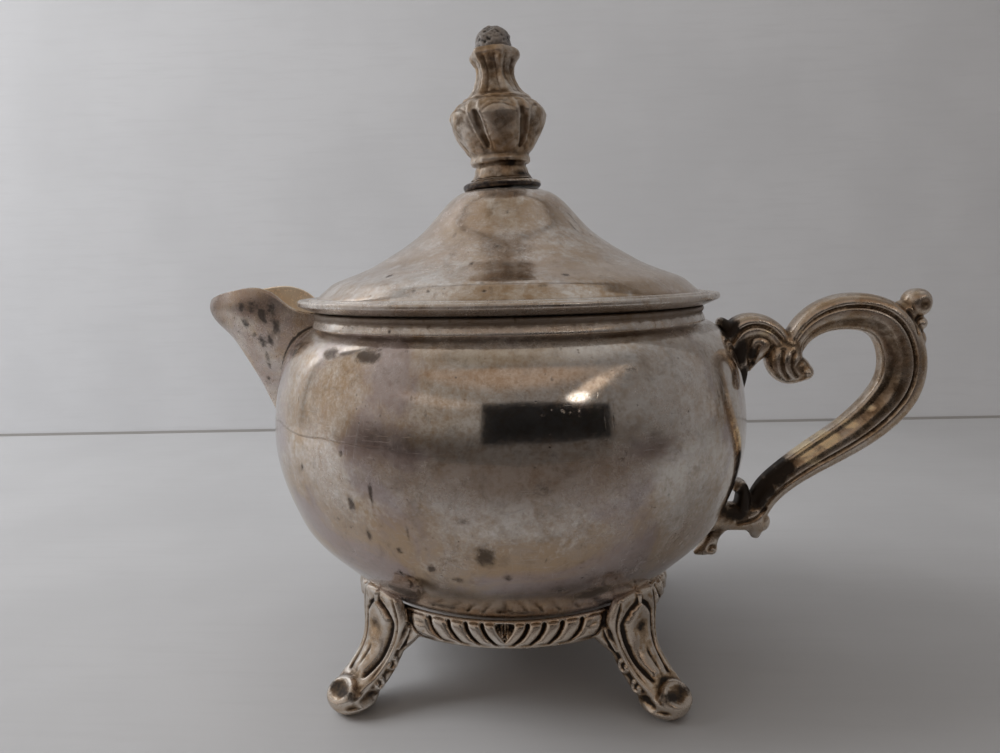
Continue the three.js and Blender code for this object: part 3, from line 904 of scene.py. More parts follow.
def lid_collar():
    """The bezel that drops inside the neck, with a slightly rolled lower edge."""
    low, high, outer = ring_box("lid_bezel")
    inner = outer - 0.8
    corners = [
        [inner + 0.1, low], [outer - 0.1, low], [outer, low + 0.5], [outer - 0.12, low + 1.2],
        [outer, high], [inner, high],
    ]
    return turned_ring("lid_collar", rounded(corners, 0.3))


FINIAL_LEAN = math.radians(-2.6)
FINIAL_SHIFT = -0.75
# The azimuth of one of the six lobes.
FINIAL_TURN = math.radians(-83)
FINIAL_TARNISH = [
    [2.4, 115.5, 1.8, 1.1, 1.0], [5.0, 113.2, 2.2, 0.7, 0.8], [-8.4, 124.6, 2.2, 3.2, 0.36],
    [1.2, 124.2, 2.6, 2.2, 0.32], [7.6, 123.4, 2.8, 3.4, 0.42], [-1.0, 136.0, 1.6, 3.4, 0.36],
    [3.4, 137.0, 1.2, 2.6, 0.3], [-2.6, 121.4, 0.8, 2.6, 0.45],
]
# The urn's silhouette, through the ribs, as [radius, height].
FINIAL_OUTLINE = [
    [7.3, 112.2], [6.8, 112.7], [6.4, 113.3], [6.15, 114.0], [6.05, 114.6], [5.9, 115.1],
    [5.75, 115.5], [6.1, 115.9], [6.85, 116.2], [7.0, 116.9], [6.75, 117.6], [7.3, 118.6],
    [7.9, 119.5], [9.4, 121.7], [10.5, 123.8], [10.95, 125.6], [10.9, 127.0], [10.3, 128.2],
    [9.2, 129.2], [8.3, 129.8], [7.8, 130.4], [6.5, 131.4], [5.5, 132.6], [4.85, 133.9],
    [4.35, 135.4], [4.3, 136.8], [4.65, 137.9], [5.3, 138.9], [5.75, 139.8], [5.65, 140.6],
    [4.9, 141.3], [3.6, 141.6],
]


def fold_place(azimuth):
    """Where an azimuth lies between two almond recesses, from -1 to 1, with a lobe at 0."""
    return np.mod((azimuth - FINIAL_TURN) / (math.pi / 3) + 0.5, 1.0) * 2 - 1


def finial_relief(azimuth, height):
    """How far the urn stands in from its outline: lobes, ribs, almond recesses and flutes."""
    side = fold_place(azimuth + 0.02 * (height - 124))
    away = np.abs(side)
    urn = band(height, 117.8, 119.2, 128.4, 129.6)
    lobe_top = 127.6 - 1.5 * (side / 0.66) ** 2
    lobe = (away < 0.66) * (1 - smoothstep(height, lobe_top - 0.3, lobe_top + 0.3))
    bulge = lobe * (0.30 * (side / 0.66) ** 2 - 0.30)
    ground = 0.28 * (1 - lobe)
    rib = -0.42 * bell(away, 0.76, 0.07) * smoothstep(height, 118.6, 120.5)
    width = 0.2 * np.clip(1 - np.abs((height - 122.9) / 4.2) ** 1.8, 0, 1)
    recess = 0.5 * bell(away, 1, width + 0.04) * (width > 0.01)
    arc = -0.22 * bell(height, lobe_top + 0.7, 0.35) * (away < 0.8)
    neck = band(height, 129.8, 131.4, 138.6, 140.2)
    flute = 0.62 * (1 - bell(away, 1, 0.3)) - 0.1
    flute = flute + 0.16 * bell(away, 0.5, 0.1)
    collar = band(height, 138.0, 139.4, 140.8, 141.6)
    petal = 0.7 * (1 - bell(away, 1, 0.36)) - 0.25
    return urn * (bulge + ground + rib + recess + arc) + neck * flute + collar * petal


def finial_casting():
    line = Spline(FINIAL_OUTLINE).line(300)
    azimuths = full_turn(300)
    height = line[:, 1][:, None]
    step = band(height, 129.3, 129.6, 130.0, 130.3)
    radius = line[:, 0][:, None] - finial_relief(azimuths, height) - 0.3 * step
    grid = upright(radius, height, azimuths)
    top = FINIAL_OUTLINE[-1][1]
    bore = turned_grid([[2.4, top], [STUD_HOLE, top - 0.2], [STUD_HOLE, 112.4], [3.6, 112.25]], azimuths)
    piece = grid_object("finial_casting", np.concatenate([grid, bore]), wrap_rows=True)
    co = corners_of(piece)
    uneven = lumps(co, 0.4, 3) * 0.16 + lumps(co, 1.2, 7) * 0.05
    carve(piece, lambda co, normals: uneven * (np.hypot(co[:, 0], co[:, 1]) > 3), polish=4)
    note_hollows(piece, rounds=60, depth=0.34)
    mark(piece, "tarnish_and_sheen", FINIAL_TARNISH)
    return piece


def lumps(co, frequency, seed):
    """Smooth uneven values from -1 to 1, made of a few fixed waves."""
    random = np.random.default_rng(seed)
    total = np.zeros(len(co))
    for _ in range(12):
        direction = random.normal(size=3)
        direction *= frequency * random.uniform(0.7, 1.5) / np.linalg.norm(direction)
        total += np.sin(co @ direction * 2 * math.pi * 0.5 + random.uniform(0, 6.3))
    return total / 4.5


def finial_plate():
    low, high, outer = ring_box("finial_base_plate")
    profile = rounded([
        [STUD_HOLE, low], [outer - 0.3, low - 0.05], [outer + 0.1, low + 0.35],
        [outer + 0.15, low + 1.15], [outer - 0.4, low + 1.55], [7.4, low + 1.75],
        [6.5, high + 0.35], [STUD_HOLE, high + 0.35],
    ], 0.3)
    return turned_ring("finial_plate", profile, 160)


def finial_cap():
    """A rough, chipped dome of dark metal on top of the urn."""
    low, high, _ = ring_box("finial_tip")
    points, faces = ellipsoid([0, 0, low + 0.6], [4.15, 4.1, high - low - 0.75], power=0.96, sides=110)
    points[:, 2] = np.maximum(points[:, 2], low - 0.5)
    piece = mesh_object("finial_cap", points, faces)
    co = corners_of(piece)
    uneven = lumps(co, 0.55, 11) * 0.26 + lumps(co, 1.5, 12) * 0.12 + lumps(co, 3.4, 13) * 0.05
    carve(piece, lambda co, normals: uneven - 0.12, polish=1)
    note_hollows(piece, rounds=12, depth=0.12)
    return piece


def lean(piece):
    """Tips a finial piece a little towards the spout, as the stud has bent."""
    base = Matrix.Translation(Vector((0, 0, PLATE_BOTTOM)))
    turn = Matrix.Rotation(FINIAL_LEAN, 4, "Y")
    shift = Matrix.Translation(Vector((FINIAL_SHIFT, 0, 0)))
    piece.data.transform(shift @ base @ turn @ base.inverted())
    return piece


def finial_thread():
    """A threaded rod: the thread is a helical wave on its radius."""
    low, high, radius = ring_box("finial_stud")
    pitch, depth = 0.5, 0.16
    azimuths = full_turn(48)
    heights = np.linspace(low, high, int((high - low) / pitch * 8))[:, None]
    wave = np.abs(np.mod(heights / pitch - azimuths / (2 * math.pi), 1.0) * 2 - 1)
    plain = smoothstep(heights, 109.5, 110.5)
    profile = radius - depth * wave * (1 - plain) - 0.25 * (1 - smoothstep(heights, low, low + 0.4))
    grid = upright(profile, heights, azimuths)
    return mesh_object("finial_thread", *closed_grid(grid, [0, 0, low], [0, 0, high]))


def hexagon(azimuths, across_corners):
    away = np.mod(azimuths, math.pi / 3) - math.pi / 6
    return across_corners * math.cos(math.pi / 6) / np.cos(away)


def hex_nut():
    """A chamfered six-sided nut."""
    near, far = node_box("finial_nut")
    low, high, corner = near[2], far[2], (far[1] - near[1]) / 2
    azimuths = full_turn(144)
    flat = hexagon(azimuths, corner)
    face, chamfer = np.minimum(flat, corner * 0.9), np.minimum(flat, corner * 0.95)
    hole = STUD_RADIUS + 0.08 + 0 * flat
    section = [
        (hole + 0.25, low), (face, low), (chamfer, low + 0.12), (flat, low + 0.34), (flat, high - 0.34),
        (chamfer, high - 0.12), (face, high), (hole + 0.25, high), (hole, high - 0.25), (hole, low + 0.25),
    ]
    rows = [upright(radius, height, azimuths)[0] for radius, height in section]
    return grid_object("finial_hex_nut", np.array(rows), wrap_rows=True)


def cup_washer():
    low, high, outer = ring_box("finial_washer")
    corners = [[STUD_HOLE, low], [outer - 0.6, low], [outer, low + 0.12], [outer, high], [STUD_HOLE, high]]
    return turned_ring("finial_cup_washer", rounded(corners, 0.15), 128)


# ---------------------------------------------------------------- materials


class Graph:
    """Builds one material's node tree. Each call adds a node and returns an output."""

    def __init__(self, name):
        self.material = bpy.data.materials.new(name)
        self.material.use_nodes = True
        self.tree = self.material.node_tree
        self.tree.nodes.clear()
        metres = self.node("ShaderNodeTexCoord").outputs["Object"]
        inputs = {0: metres, 3: 1 / MM}
        self.place = self.node("ShaderNodeVectorMath", inputs, {"operation": "SCALE"}).outputs[0]

    @classmethod
    def for_tree(cls, tree):
        graph = cls.__new__(cls)
        graph.tree = tree
        tree.nodes.clear()
        graph.place = graph.node("ShaderNodeTexCoord").outputs["Generated"]
        return graph

    def node(self, kind, inputs=None, settings=None):
        node = self.tree.nodes.new(kind)
        for key, value in (settings or {}).items():
            setattr(node, key, value)
        for key, value in (inputs or {}).items():
            if isinstance(value, bpy.types.NodeSocket):
                self.tree.links.new(value, node.inputs[key])
            else:
                node.inputs[key].default_value = value
        return node

    def stretched(self, scale, turn=(0, 0, 0)):
        inputs = {"Vector": self.place, "Scale": scale, "Rotation": turn}
        return self.node("ShaderNodeMapping", inputs).outputs[0]

    def noise(self, size, detail=4.0, roughness=0.55, distortion=0.0, place=None):
        """Noise whose largest features are of one size in millimetres."""
        inputs = {"Vector": place or self.place, "Scale": 1 / size, "Detail": detail,
                  "Roughness": roughness, "Distortion": distortion}
        return self.node("ShaderNodeTexNoise", inputs).outputs["Fac"]

    def cells(self, size, place=None):
        inputs = {"Vector": place or self.place, "Scale": 1 / size}
        return self.node("ShaderNodeTexVoronoi", inputs).outputs["Distance"]

    def span(self, value, low, high, to_low=0.0, to_high=1.0):
        inputs = {"Value": value, "From Min": low, "From Max": high, "To Min": to_low, "To Max": to_high}
        settings = {"interpolation_type": "SMOOTHSTEP"}
        return self.node("ShaderNodeMapRange", inputs, settings).outputs["Result"]

    def math(self, operation, a, b=0.0, clamp=False):
        settings = {"operation": operation, "use_clamp": clamp}
        return self.node("ShaderNodeMath", {0: a, 1: b}, settings).outputs[0]

    def add(self, a, b, clamp=False):
        return self.math("ADD", a, b, clamp)

    def sub(self, a, b):
        return self.math("SUBTRACT", a, b)

    def mul(self, a, b):
        return self.math("MULTIPLY", a, b)

    def over(self, a, b):
        return self.math("DIVIDE", a, b)

    def most(self, a, b):
        return self.math("MAXIMUM", a, b)

    def axes(self):
        return self.node("ShaderNodeSeparateXYZ", {0: self.place}).outputs

    def blend(self, share, a, b):
        node = self.node("ShaderNodeMix", settings={"data_type": "RGBA"})
        for index, value in ((0, share), (6, a), (7, b)):
            if isinstance(value, bpy.types.NodeSocket):
                self.tree.links.new(value, node.inputs[index])
            elif index == 0:
                node.inputs[index].default_value = value
            else:
                node.inputs[index].default_value = (*value, 1)
        return node.outputs[2]

    def attribute(self, name):
        return self.node("ShaderNodeAttribute", settings={"attribute_name": name}).outputs["Fac"]

    def bump(self, height, distance, strength=1.0, under=None):
        inputs = {"Height": height, "Distance": distance * MM, "Strength": strength}
        if under is not None:
            inputs["Normal"] = under
        return self.node("ShaderNodeBump", inputs).outputs[0]

    def finish(self, color, roughness, normal, metallic=1.0, **extra):
        inputs = {"Base Color": color, "Roughness": roughness, "Normal": normal, "Metallic": metallic}
        inputs.update(extra)
        surface = self.node("ShaderNodeBsdfPrincipled", inputs)
        output = self.node("ShaderNodeOutputMaterial")
        self.tree.links.new(surface.outputs[0], output.inputs[0])
        return self.material


SILVER = (0.79, 0.745, 0.69)
WARM_FILM = (0.50, 0.365, 0.242)
HAZE = (0.62, 0.60, 0.60)
PURPLE_FILM = (0.41, 0.34, 0.36)
OXIDE = (0.026, 0.018, 0.013)
# Oxide brown, which also serves as painted shade in the gaps under the rim.
BROWN_OXIDE_AND_SHADE = (0.15, 0.10, 0.062)
STAIN_BLACK = (0.065, 0.048, 0.038)
GILT = (1.0, 0.88, 0.72)
GILT_DULL = (0.95, 0.76, 0.55)
SHEEN_YELLOW = (0.90, 0.74, 0.50)
FRECKLE = (0.05, 0.045, 0.042)
TIP_DARK, TIP_GLINT = (0.06, 0.055, 0.05), (0.40, 0.37, 0.35)
BRASS, BRASS_FILM = (0.66, 0.49, 0.24), (0.30, 0.20, 0.10)
PLATE_EDGE_SHADE = (0.06, 0.05, 0.05)


def speckles(g, size, where, place=None):
    """Small ragged pits of one size, kept to some areas."""
    pits = g.span(g.cells(size, place), 0.20, 0.04)
    ragged = g.span(g.noise(size * 0.35, 3, 0.6, place=place), 0.36, 0.64)
    return g.mul(g.mul(pits, where), ragged)


def silver_pits(g):
    coarse = speckles(g, 3.4, g.span(g.noise(40, 3), 0.50, 0.60))
    turned = g.stretched((1, 1, 1), (0.6, 0.3, 0.2))
    fine = speckles(g, 1.5, g.span(g.noise(9, 3), 0.48, 0.62), turned)
    streaks = g.noise(1.3, 4, 0.6, place=g.stretched((1, 1, 0.2)))
    low = g.span(g.noise(13, 2), 0.50, 0.64)
    drips = g.mul(g.span(streaks, 0.62, 0.74), low)
    return g.most(g.most(coarse, fine), g.mul(drips, 0.7))


def scratches(g):
    """Hair scratches that run several ways."""
    first = g.noise(0.30, 2, 0.5, place=g.stretched((0.06, 0.06, 1.9), (0.2, 0.5, 0.1)))
    second = g.noise(0.30, 2, 0.5, place=g.stretched((1.9, 0.07, 0.07), (0.4, 0.9, 0.7)))
    third = g.noise(0.36, 2, 0.5, place=g.stretched((0.05, 1.8, 0.05), (1.1, 0.2, 0.4)))
    lines = g.most(g.span(first, 0.65, 0.74), g.span(second, 0.66, 0.75))
    return g.most(lines, g.span(third, 0.66, 0.75))


def offset(g, value, amount):
    """A noise value turned into a swing of some amount about zero."""
    return g.mul(g.sub(value, 0.5), amount)


def milky_veil(g, clear, wear):
    """A broken haze, thin where the polish is still bright."""
    mist = g.span(g.noise(17, 7, 0.64, 0.4), 0.34, 0.62)
    grainy = g.span(g.noise(2.2, 8, 0.76), 0.30, 0.68, 0.25, 1.0)
    return g.mul(g.mul(g.mul(mist, grainy), g.sub(1.0, clear)), wear)


def warm_film(g, grain, warmth, violet, brown):
    """The silver's colour under a warm film that turns violet in patches."""
    broad = g.span(g.noise(26, 5, 0.6, 0.6), 0.38, 0.62)
    patchy = g.span(g.noise(6.0, 10, 0.74, 0.5), 0.36, 0.62)
    flecks = offset(g, g.noise(2.2, 8, 0.8, 0.3), 2.4)
    film = g.mul(g.add(broad, patchy), 0.6 * warmth)
    film = g.add(g.add(film, offset(g, grain, 1.5)), flecks)
    film = g.add(film, brown, clamp=True)
    cool = g.span(g.noise(24, 6, 0.62, 0.8), 0.47, 0.62, 0.0, violet)
    return g.blend(cool, g.blend(film, SILVER, WARM_FILM), PURPLE_FILM)


def plate_marks(g, wear):
    """Stains with ragged edges, and pits."""
    swing = offset(g, g.noise(1.5, 8, 0.75), 2.3)
    stained = g.span(g.mul(g.attribute("stain"), g.add(1.0, swing)), 0.26, 0.72)
    return g.mul(g.most(silver_pits(g), stained), 0.85 * wear)


def plated_silver(name, warmth, gloss, violet, wear=1.0, clear=None, brown=None, dark=None):
    """Silver plate gone warm under a broken milky veil, with stains, pits and scratches.

    Violet is how far the film turns violet in patches. Clear masks where the polish is still
    bright, brown where the film is thickest, which low on the bowl is partly painted shade,
    and dark where dirt has gathered and where shade is painted in under the rim."""
    g = Graph(name)
    clear, brown, dark = (mask(g) if mask else 0.0 for mask in (clear, brown, dark))
    grain = g.noise(0.9, 5, 0.75)
    veil = milky_veil(g, clear, wear)
    color = g.blend(g.mul(veil, 0.45), warm_film(g, grain, warmth, violet, brown), HAZE)
    soot = g.span(g.noise(4.2, 10, 0.8, 0.4), 0.48, 0.70, 0.0, 0.42)
    color = g.blend(soot, color, BROWN_OXIDE_AND_SHADE)
    scratched = g.mul(scratches(g), g.span(clear, 0.0, 1.0, 1.0, 0.15))
    color = g.blend(g.mul(scratched, 0.4 * wear), color, HAZE)
    marks = plate_marks(g, wear)
    # Dark carries grime and painted shade under the rim, in oxide brown.
    color = g.blend(dark, g.blend(marks, color, STAIN_BLACK), BROWN_OXIDE_AND_SHADE)
    marks = g.most(marks, dark)
    rough = g.add(g.add(g.mul(veil, 0.14), gloss), g.mul(marks, 0.25))
    rough = g.add(rough, g.span(grain, 0.4, 0.7, 0.0, 0.07))
    metal = g.sub(1.0, g.mul(veil, 0.42))
    waves = g.bump(g.noise(24, 2, 0.4), 0.5, 0.6)
    cut = g.bump(scratched, 0.012, 0.5 * wear, waves)
    return g.finish(color, rough, g.bump(g.sub(1.0, marks), 0.05, 0.6, cut), metal)


TIDE_LINE = 59.6


def oval(g, across, up):
    """The squared distance from the middle of an oval, in its own half widths."""
    return g.add(g.mul(across, across), g.mul(up, up))


def bowl_clear(g):
    """The polish has stayed bright on the front of the bowl, from shoulder to waist."""
    x, y, z = g.axes()
    reach = oval(g, g.over(g.sub(x, AXIS_X + 4), 24), g.over(g.sub(z, 66), 12))
    uneven = g.add(reach, offset(g, g.noise(9, 6, 0.65), 2.4))
    front = g.mul(g.span(uneven, 1.2, 0.4), g.span(y, -20, -34))
    return g.most(front, g.span(x, AXIS_X + 43, AXIS_X + 47))


def bowl_brown_film_and_low_shade(g):
    """The film is brownest on the spout's side of the bowl; low on the bowl the brown is partly film and
    partly painted shade.
    """
    x, _, z = g.axes()
    swing = offset(g, g.noise(11, 8, 0.7), 1.6)
    # Partly painted shade: the bowl browns towards the bottom.
    low = g.add(g.span(z, 66, 30), swing)
    left = g.add(g.span(x, AXIS_X + 6, AXIS_X - 34), swing)
    return g.add(g.span(low, 0.35, 0.95, 0.0, 0.8), g.span(left, 0.4, 1.1, 0.0, 0.4))


def bowl_tide_line_and_corner_shade(g):
    """A thin tide line on the spout's side, and painted shade, brown, in the corner under the rim."""
    x, _, z = g.axes()
    wavy = g.sub(z, g.mul(g.noise(16, 2), 2.4))
    near = g.math("ABSOLUTE", g.sub(wavy, TIDE_LINE))
    tide = g.mul(g.span(near, 0.3, 0.06, 0.0, 0.4), g.span(x, AXIS_X - 16, AXIS_X - 30))
    uneven = g.add(z, offset(g, g.noise(2.4, 5, 0.65), 1.6))
    # Painted shade: the corner where the shoulder meets the neck is darkened brown.
    corner = g.mul(g.span(uneven, 77.9, 78.4, 0.0, 0.42), g.span(uneven, 79.9, 79.3))
    return g.most(tide, corner)


def rim_grime_and_shade(g):
    """Brown dirt and painted shade where the lid's flare turns down onto the rim, in the gap under the
    flare.
    """
    uneven = g.add(g.axes()[2], offset(g, g.noise(1.8, 5, 0.65), 0.9))
    # Painted shade and grime: a brown band in the gap between the flare and the wire.
    above = g.span(uneven, 81.2, 81.6)
    below = g.span(uneven, 83.8, 83.3)
    return g.mul(g.mul(above, below), 0.72)


# Stains on the bowl and lid: azimuth in degrees, height, reach round in degrees, reach up in
# millimetres, strength.
BOWL_STAINS = [
    [-120.6, 49.0, 0.9, 2.4, 0.9], [-114.9, 52.0, 0.7, 3.4, 0.8], [-122.2, 58.7, 0.9, 0.8, 0.7],
    [-135.8, 54.0, 1.3, 1.2, 0.7], [-92.5, 41.0, 2.6, 3.0, 0.8], [-96.0, 48.1, 2.4, 0.7, 0.6],
    [-111.1, 40.7, 1.2, 1.0, 0.8], [-104.5, 37.3, 1.2, 1.4, 0.8], [-61.7, 73.4, 2.0, 0.5, 0.9],
    [-81.1, 54.2, 2.6, 2.4, 0.5], [-130.1, 76.4, 3.6, 1.3, 0.8], [-118.2, 76.4, 4.2, 1.4, 0.95],
    [-149.0, 75.6, 2.4, 1.5, 0.75], [-119.0, 28.0, 7.0, 2.4, 0.8], [-66.0, 29.0, 7.5, 2.4, 0.8],
    [-76.0, 31.5, 3.4, 1.8, 0.6], [-107.0, 25.0, 7.0, 1.6, 0.6], [-84.0, 24.0, 8.0, 1.4, 0.55],
    [-118.0, 43.0, 1.2, 2.0, 0.7], [-108.0, 45.0, 0.7, 2.4, 0.6], [-99.0, 35.0, 2.0, 1.2, 0.6],
    [-126.0, 45.0, 1.0, 1.2, 0.6], [-113.0, 35.0, 1.2, 1.6, 0.65], [-88.0, 36.0, 1.6, 1.4, 0.6],
    [45.0, 27.0, 8.0, 2.6, 0.65], [135.0, 27.0, 8.0, 2.6, 0.65], [100.0, 25.0, 9.0, 1.6, 0.6],
]
LID_STAINS = [
    [-100.0, 93.0, 1.4, 0.5, 0.7], [-70.0, 90.5, 2.0, 0.4, 0.7], [-118.0, 99.0, 2.2, 1.4, 0.5],
    [-60.0, 97.0, 2.0, 1.0, 0.5], [-128.0, 91.0, 1.8, 0.5, 0.7], [-86.0, 104.0, 2.4, 1.0, 0.5],
    [-92.0, 96.5, 6.0, 0.9, 0.5], [-110.0, 95.0, 4.0, 0.7, 0.45], [-78.0, 88.6, 1.6, 0.5, 0.6],
]


def stain(piece, stains, count, seed):
    """Stores the listed marks and some at seeded places round the back as a soft value."""
    random = np.random.default_rng(seed)
    co = corners_of(piece)
    low, high = co[:, 2].min() + 8, co[:, 2].max() - 6
    scattered = [
        [random.uniform(-40, 160), random.uniform(low, high), random.uniform(0.6, 2.6),
         random.uniform(0.6, 2.6), random.uniform(0.45, 0.85)] for _ in range(count)
    ]
    azimuth = np.degrees(np.arctan2(co[:, 1], co[:, 0]))
    store(piece, "stain", blobs(azimuth, co[:, 2], stains + scattered))
    return piece


def cast_silver(name, warmth, dark, gloss, crisp):
    """A plated casting: silver on the ridges, brown film on the faces, oxide in the hollows.

    Crisp sets how sharply the oxide ends. Negative marks paint yellow highlights, which stand for
    reflections of something warm and bright."""
    g = Graph(name)
    uneven = g.noise(1.6, 5, 0.65)
    tarnish_and_sheen = g.add(g.attribute("tarnish_and_sheen"), offset(g, g.noise(2.2, 8, 0.75), 1.5))
    level = g.mul(g.add(g.attribute("hollow"), offset(g, uneven, 0.8)), crisp)
    film = g.span(g.noise(6, 6, 0.65, 0.5), 0.36, 0.62, warmth, 1.0)
    color = g.blend(film, SILVER, WARM_FILM)
    shade = g.span(g.add(level, g.most(tarnish_and_sheen, 0.0)), -0.25, 0.55, 0.0, 0.9)
    color = g.blend(shade, color, BROWN_OXIDE_AND_SHADE)
    bright = g.span(level, -0.15, -0.6)
    color = g.blend(g.mul(bright, 0.5), color, SILVER)
    # Painted highlight: negative marks turn yellow, standing for a warm reflection.
    painted_sheen = g.span(tarnish_and_sheen, -0.30, -0.75)
    color = g.blend(painted_sheen, color, SHEEN_YELLOW)
    oxide = g.most(g.span(level, 0.3, 0.9, 0.0, dark), g.span(tarnish_and_sheen, 0.45, 0.85, 0.0, 0.97))
    color = g.blend(oxide, color, OXIDE)
    specks = g.mul(g.span(g.cells(1.4), 0.16, 0.04), g.span(uneven, 0.48, 0.62))
    color = g.blend(g.mul(specks, 0.7), color, BROWN_OXIDE_AND_SHADE)
    rough = g.add(g.mul(oxide, 0.28), g.span(uneven, 0.3, 0.7, gloss, gloss + 0.14))
    grain = g.bump(g.noise(0.45, 5, 0.65), 0.05, 0.4)
    soft = g.bump(g.noise(2.6, 3, 0.5), 0.16, 0.5, grain)
    metal = g.span(oxide, 0.3, 1.0, 1.0, 0.5)
    return g.finish(color, rough, soft, metal)


def dark_metal(name):
    """Rough grey-black metal with glints on its broken high spots."""
    g = Graph(name)
    hollow = g.attribute("hollow")
    grain = g.noise(0.7, 6, 0.7)
    level = g.add(hollow, offset(g, grain, 1.2))
    color = g.blend(g.span(level, 0.6, -0.5), TIP_DARK, TIP_GLINT)
    rough = g.span(grain, 0.35, 0.65, 0.34, 0.62)
    rocky = g.bump(g.cells(0.9), 0.22, 0.7)
    bumped = g.bump(grain, 0.18, 0.8, rocky)
    return g.finish(color, rough, bumped, 0.85)


def dull_brass(name):
    """Turned brass with a brown film and fine tool lines."""
    g = Graph(name)
    film = g.span(g.noise(3.0, 5, 0.6), 0.38, 0.66)
    color = g.blend(film, BRASS, BRASS_FILM)
    rough = g.span(g.noise(1.0, 4, 0.6), 0.3, 0.7, 0.26, 0.5)
    lines = g.bump(g.noise(0.6, 3, 0.5, place=g.stretched((0.3, 0.3, 7.0))), 0.03, 0.5)
    return g.finish(color, rough, lines)


def spout_silver(name):
    """Silver plate outside, dull and brown with dark freckles, and a yellow lining inside."""
    g = Graph(name)
    grain = g.noise(0.9, 5, 0.75)
    inside = g.attribute("inside")
    film = g.span(g.noise(9, 7, 0.66, 0.5), 0.36, 0.62, 0.35, 1.0)
    film = g.add(film, offset(g, grain, 0.5))
    outer = g.blend(film, SILVER, WARM_FILM)
    violet = g.span(g.noise(12, 5, 0.6), 0.44, 0.62, 0.0, 0.45)
    outer = g.blend(violet, outer, PURPLE_FILM)
    lip = g.span(g.axes()[0], AXIS_X - 63, AXIS_X - 70)
    outer = g.blend(g.mul(lip, 0.65), outer, BROWN_OXIDE_AND_SHADE)
    lining = g.blend(g.span(g.noise(7, 5, 0.6), 0.40, 0.70), GILT, GILT_DULL)
    color = g.blend(inside, outer, lining)
    swing = offset(g, g.noise(1.3, 7, 0.75), 1.9)
    freckles = g.span(g.add(g.attribute("stain"), swing), 0.26, 0.8)
    freckles = g.most(freckles, silver_pits(g))
    freckles = g.mul(freckles, g.sub(1.0, inside))
    color = g.blend(g.mul(freckles, 0.85), color, FRECKLE)
    veil = g.span(g.noise(8, 7, 0.68), 0.36, 0.66, 0.05, 0.35)
    rough = g.add(g.mul(freckles, 0.3), g.span(grain, 0.3, 0.7, 0.18, 0.30))
    waves = g.bump(g.noise(14, 2, 0.4), 0.4, 0.5)
    scratched = g.bump(scratches(g), 0.012, 0.5, waves)
    veil = g.most(veil, g.mul(inside, 0.75))
    return g.finish(color, rough, scratched, g.sub(1.0, veil))


# ---------------------------------------------------------------- stage, light and camera

CAMERA_DISTANCE = 181.5
CAMERA_HEIGHT = 91.1
CAMERA_PITCH = math.radians(7.75)
CAMERA_ROLL = math.radians(1.2)
CAMERA_YAW = math.radians(-0.7)
OBJECT_YAW = math.radians(3.0)
LENS = 27.36
SENSOR = 36.0
WALL_BEHIND = 264.0
FLOOR_FRONT = -420.0
BOARD_REACH = 900.0
BOARD_PITCH = 3.0
FLOOR_COLOR = (0.515, 0.528, 0.548)
WALL_COLOR = (0.745, 0.77, 0.805)
JOINT_SHADOW_COLOR = (0.42, 0.415, 0.41)
BOARD_PAINTED_SHADOW = (0.15, 0.12, 0.105)


def to_row(vector):
    """A point given in millimetres from the bowl's axis, in the room's own directions."""
    turned = Matrix.Rotation(OBJECT_YAW, 4, "Z") @ Vector(vector)
    return (turned + Vector((AXIS_X, 0, 0))) * MM


def camera():
    data = bpy.data.cameras.new("camera")
    data.sensor_width = SENSOR
    data.lens = LENS
    data.clip_start = 0.005
    eye = bpy.data.objects.new("camera", data)
    bpy.context.scene.collection.objects.link(eye)
    cosine, sine = math.cos(CAMERA_PITCH), math.sin(CAMERA_PITCH)
    forward = Vector((math.sin(CAMERA_YAW) * cosine, math.cos(CAMERA_YAW) * cosine, -sine))
    level = Vector((math.cos(CAMERA_YAW), -math.sin(CAMERA_YAW), 0))
    upward = level.cross(forward)
    right = level * math.cos(CAMERA_ROLL) - upward * math.sin(CAMERA_ROLL)
    top = level * math.sin(CAMERA_ROLL) + upward * math.cos(CAMERA_ROLL)
    turn = Matrix.Rotation(OBJECT_YAW, 3, "Z")
    columns = [turn @ right, turn @ top, turn @ -forward]
    matrix = Matrix(columns).transposed().to_4x4()
    matrix.translation = to_row((0, -CAMERA_DISTANCE, CAMERA_HEIGHT))
    eye.matrix_world = matrix
    bpy.context.scene.camera = eye


def paper(name, color):
    """Pale matt board with faint lines, and a painted shadow that darkens it where it runs out in front of
    the pot.
    """
    g = Graph(name)
    ahead = g.axes()[1]
    mottle = g.noise(60, 3, 0.5)
    fine = g.noise(BOARD_PITCH, 3, 0.6, place=g.stretched((0.08, 1.0, 1.0)))
    shade = g.blend(g.span(mottle, 0.3, 0.7), color, tuple(0.94 * c for c in color))
    shade = g.blend(g.span(fine, 0.45, 0.75, 0.0, 0.35), shade, tuple(0.9 * c for c in color))
    # Painted shadow: the board darkens towards the front.
    shade = g.blend(g.span(ahead, -42, -180, 0.0, 0.95), shade, BOARD_PAINTED_SHADOW)
    bump = g.bump(fine, 0.12, 0.3)
    return g.finish(shade, 0.75, bump, 0.0)


def board(name, corners, material):
    piece = mesh_object(name, [to_row(c) for c in corners], [[0, 1, 2, 3]], smooth=False)
    piece.data.materials.append(material)
    return piece


def upright_board(name, place, low, high, color):
    corners = [[x, place, z] for x, z in zip((-1, 1, 1, -1), (low, low, high, high))]
    board("stage_" + name, [[BOARD_REACH * x, y, z] for x, y, z in corners], paper("pale_" + name, color))


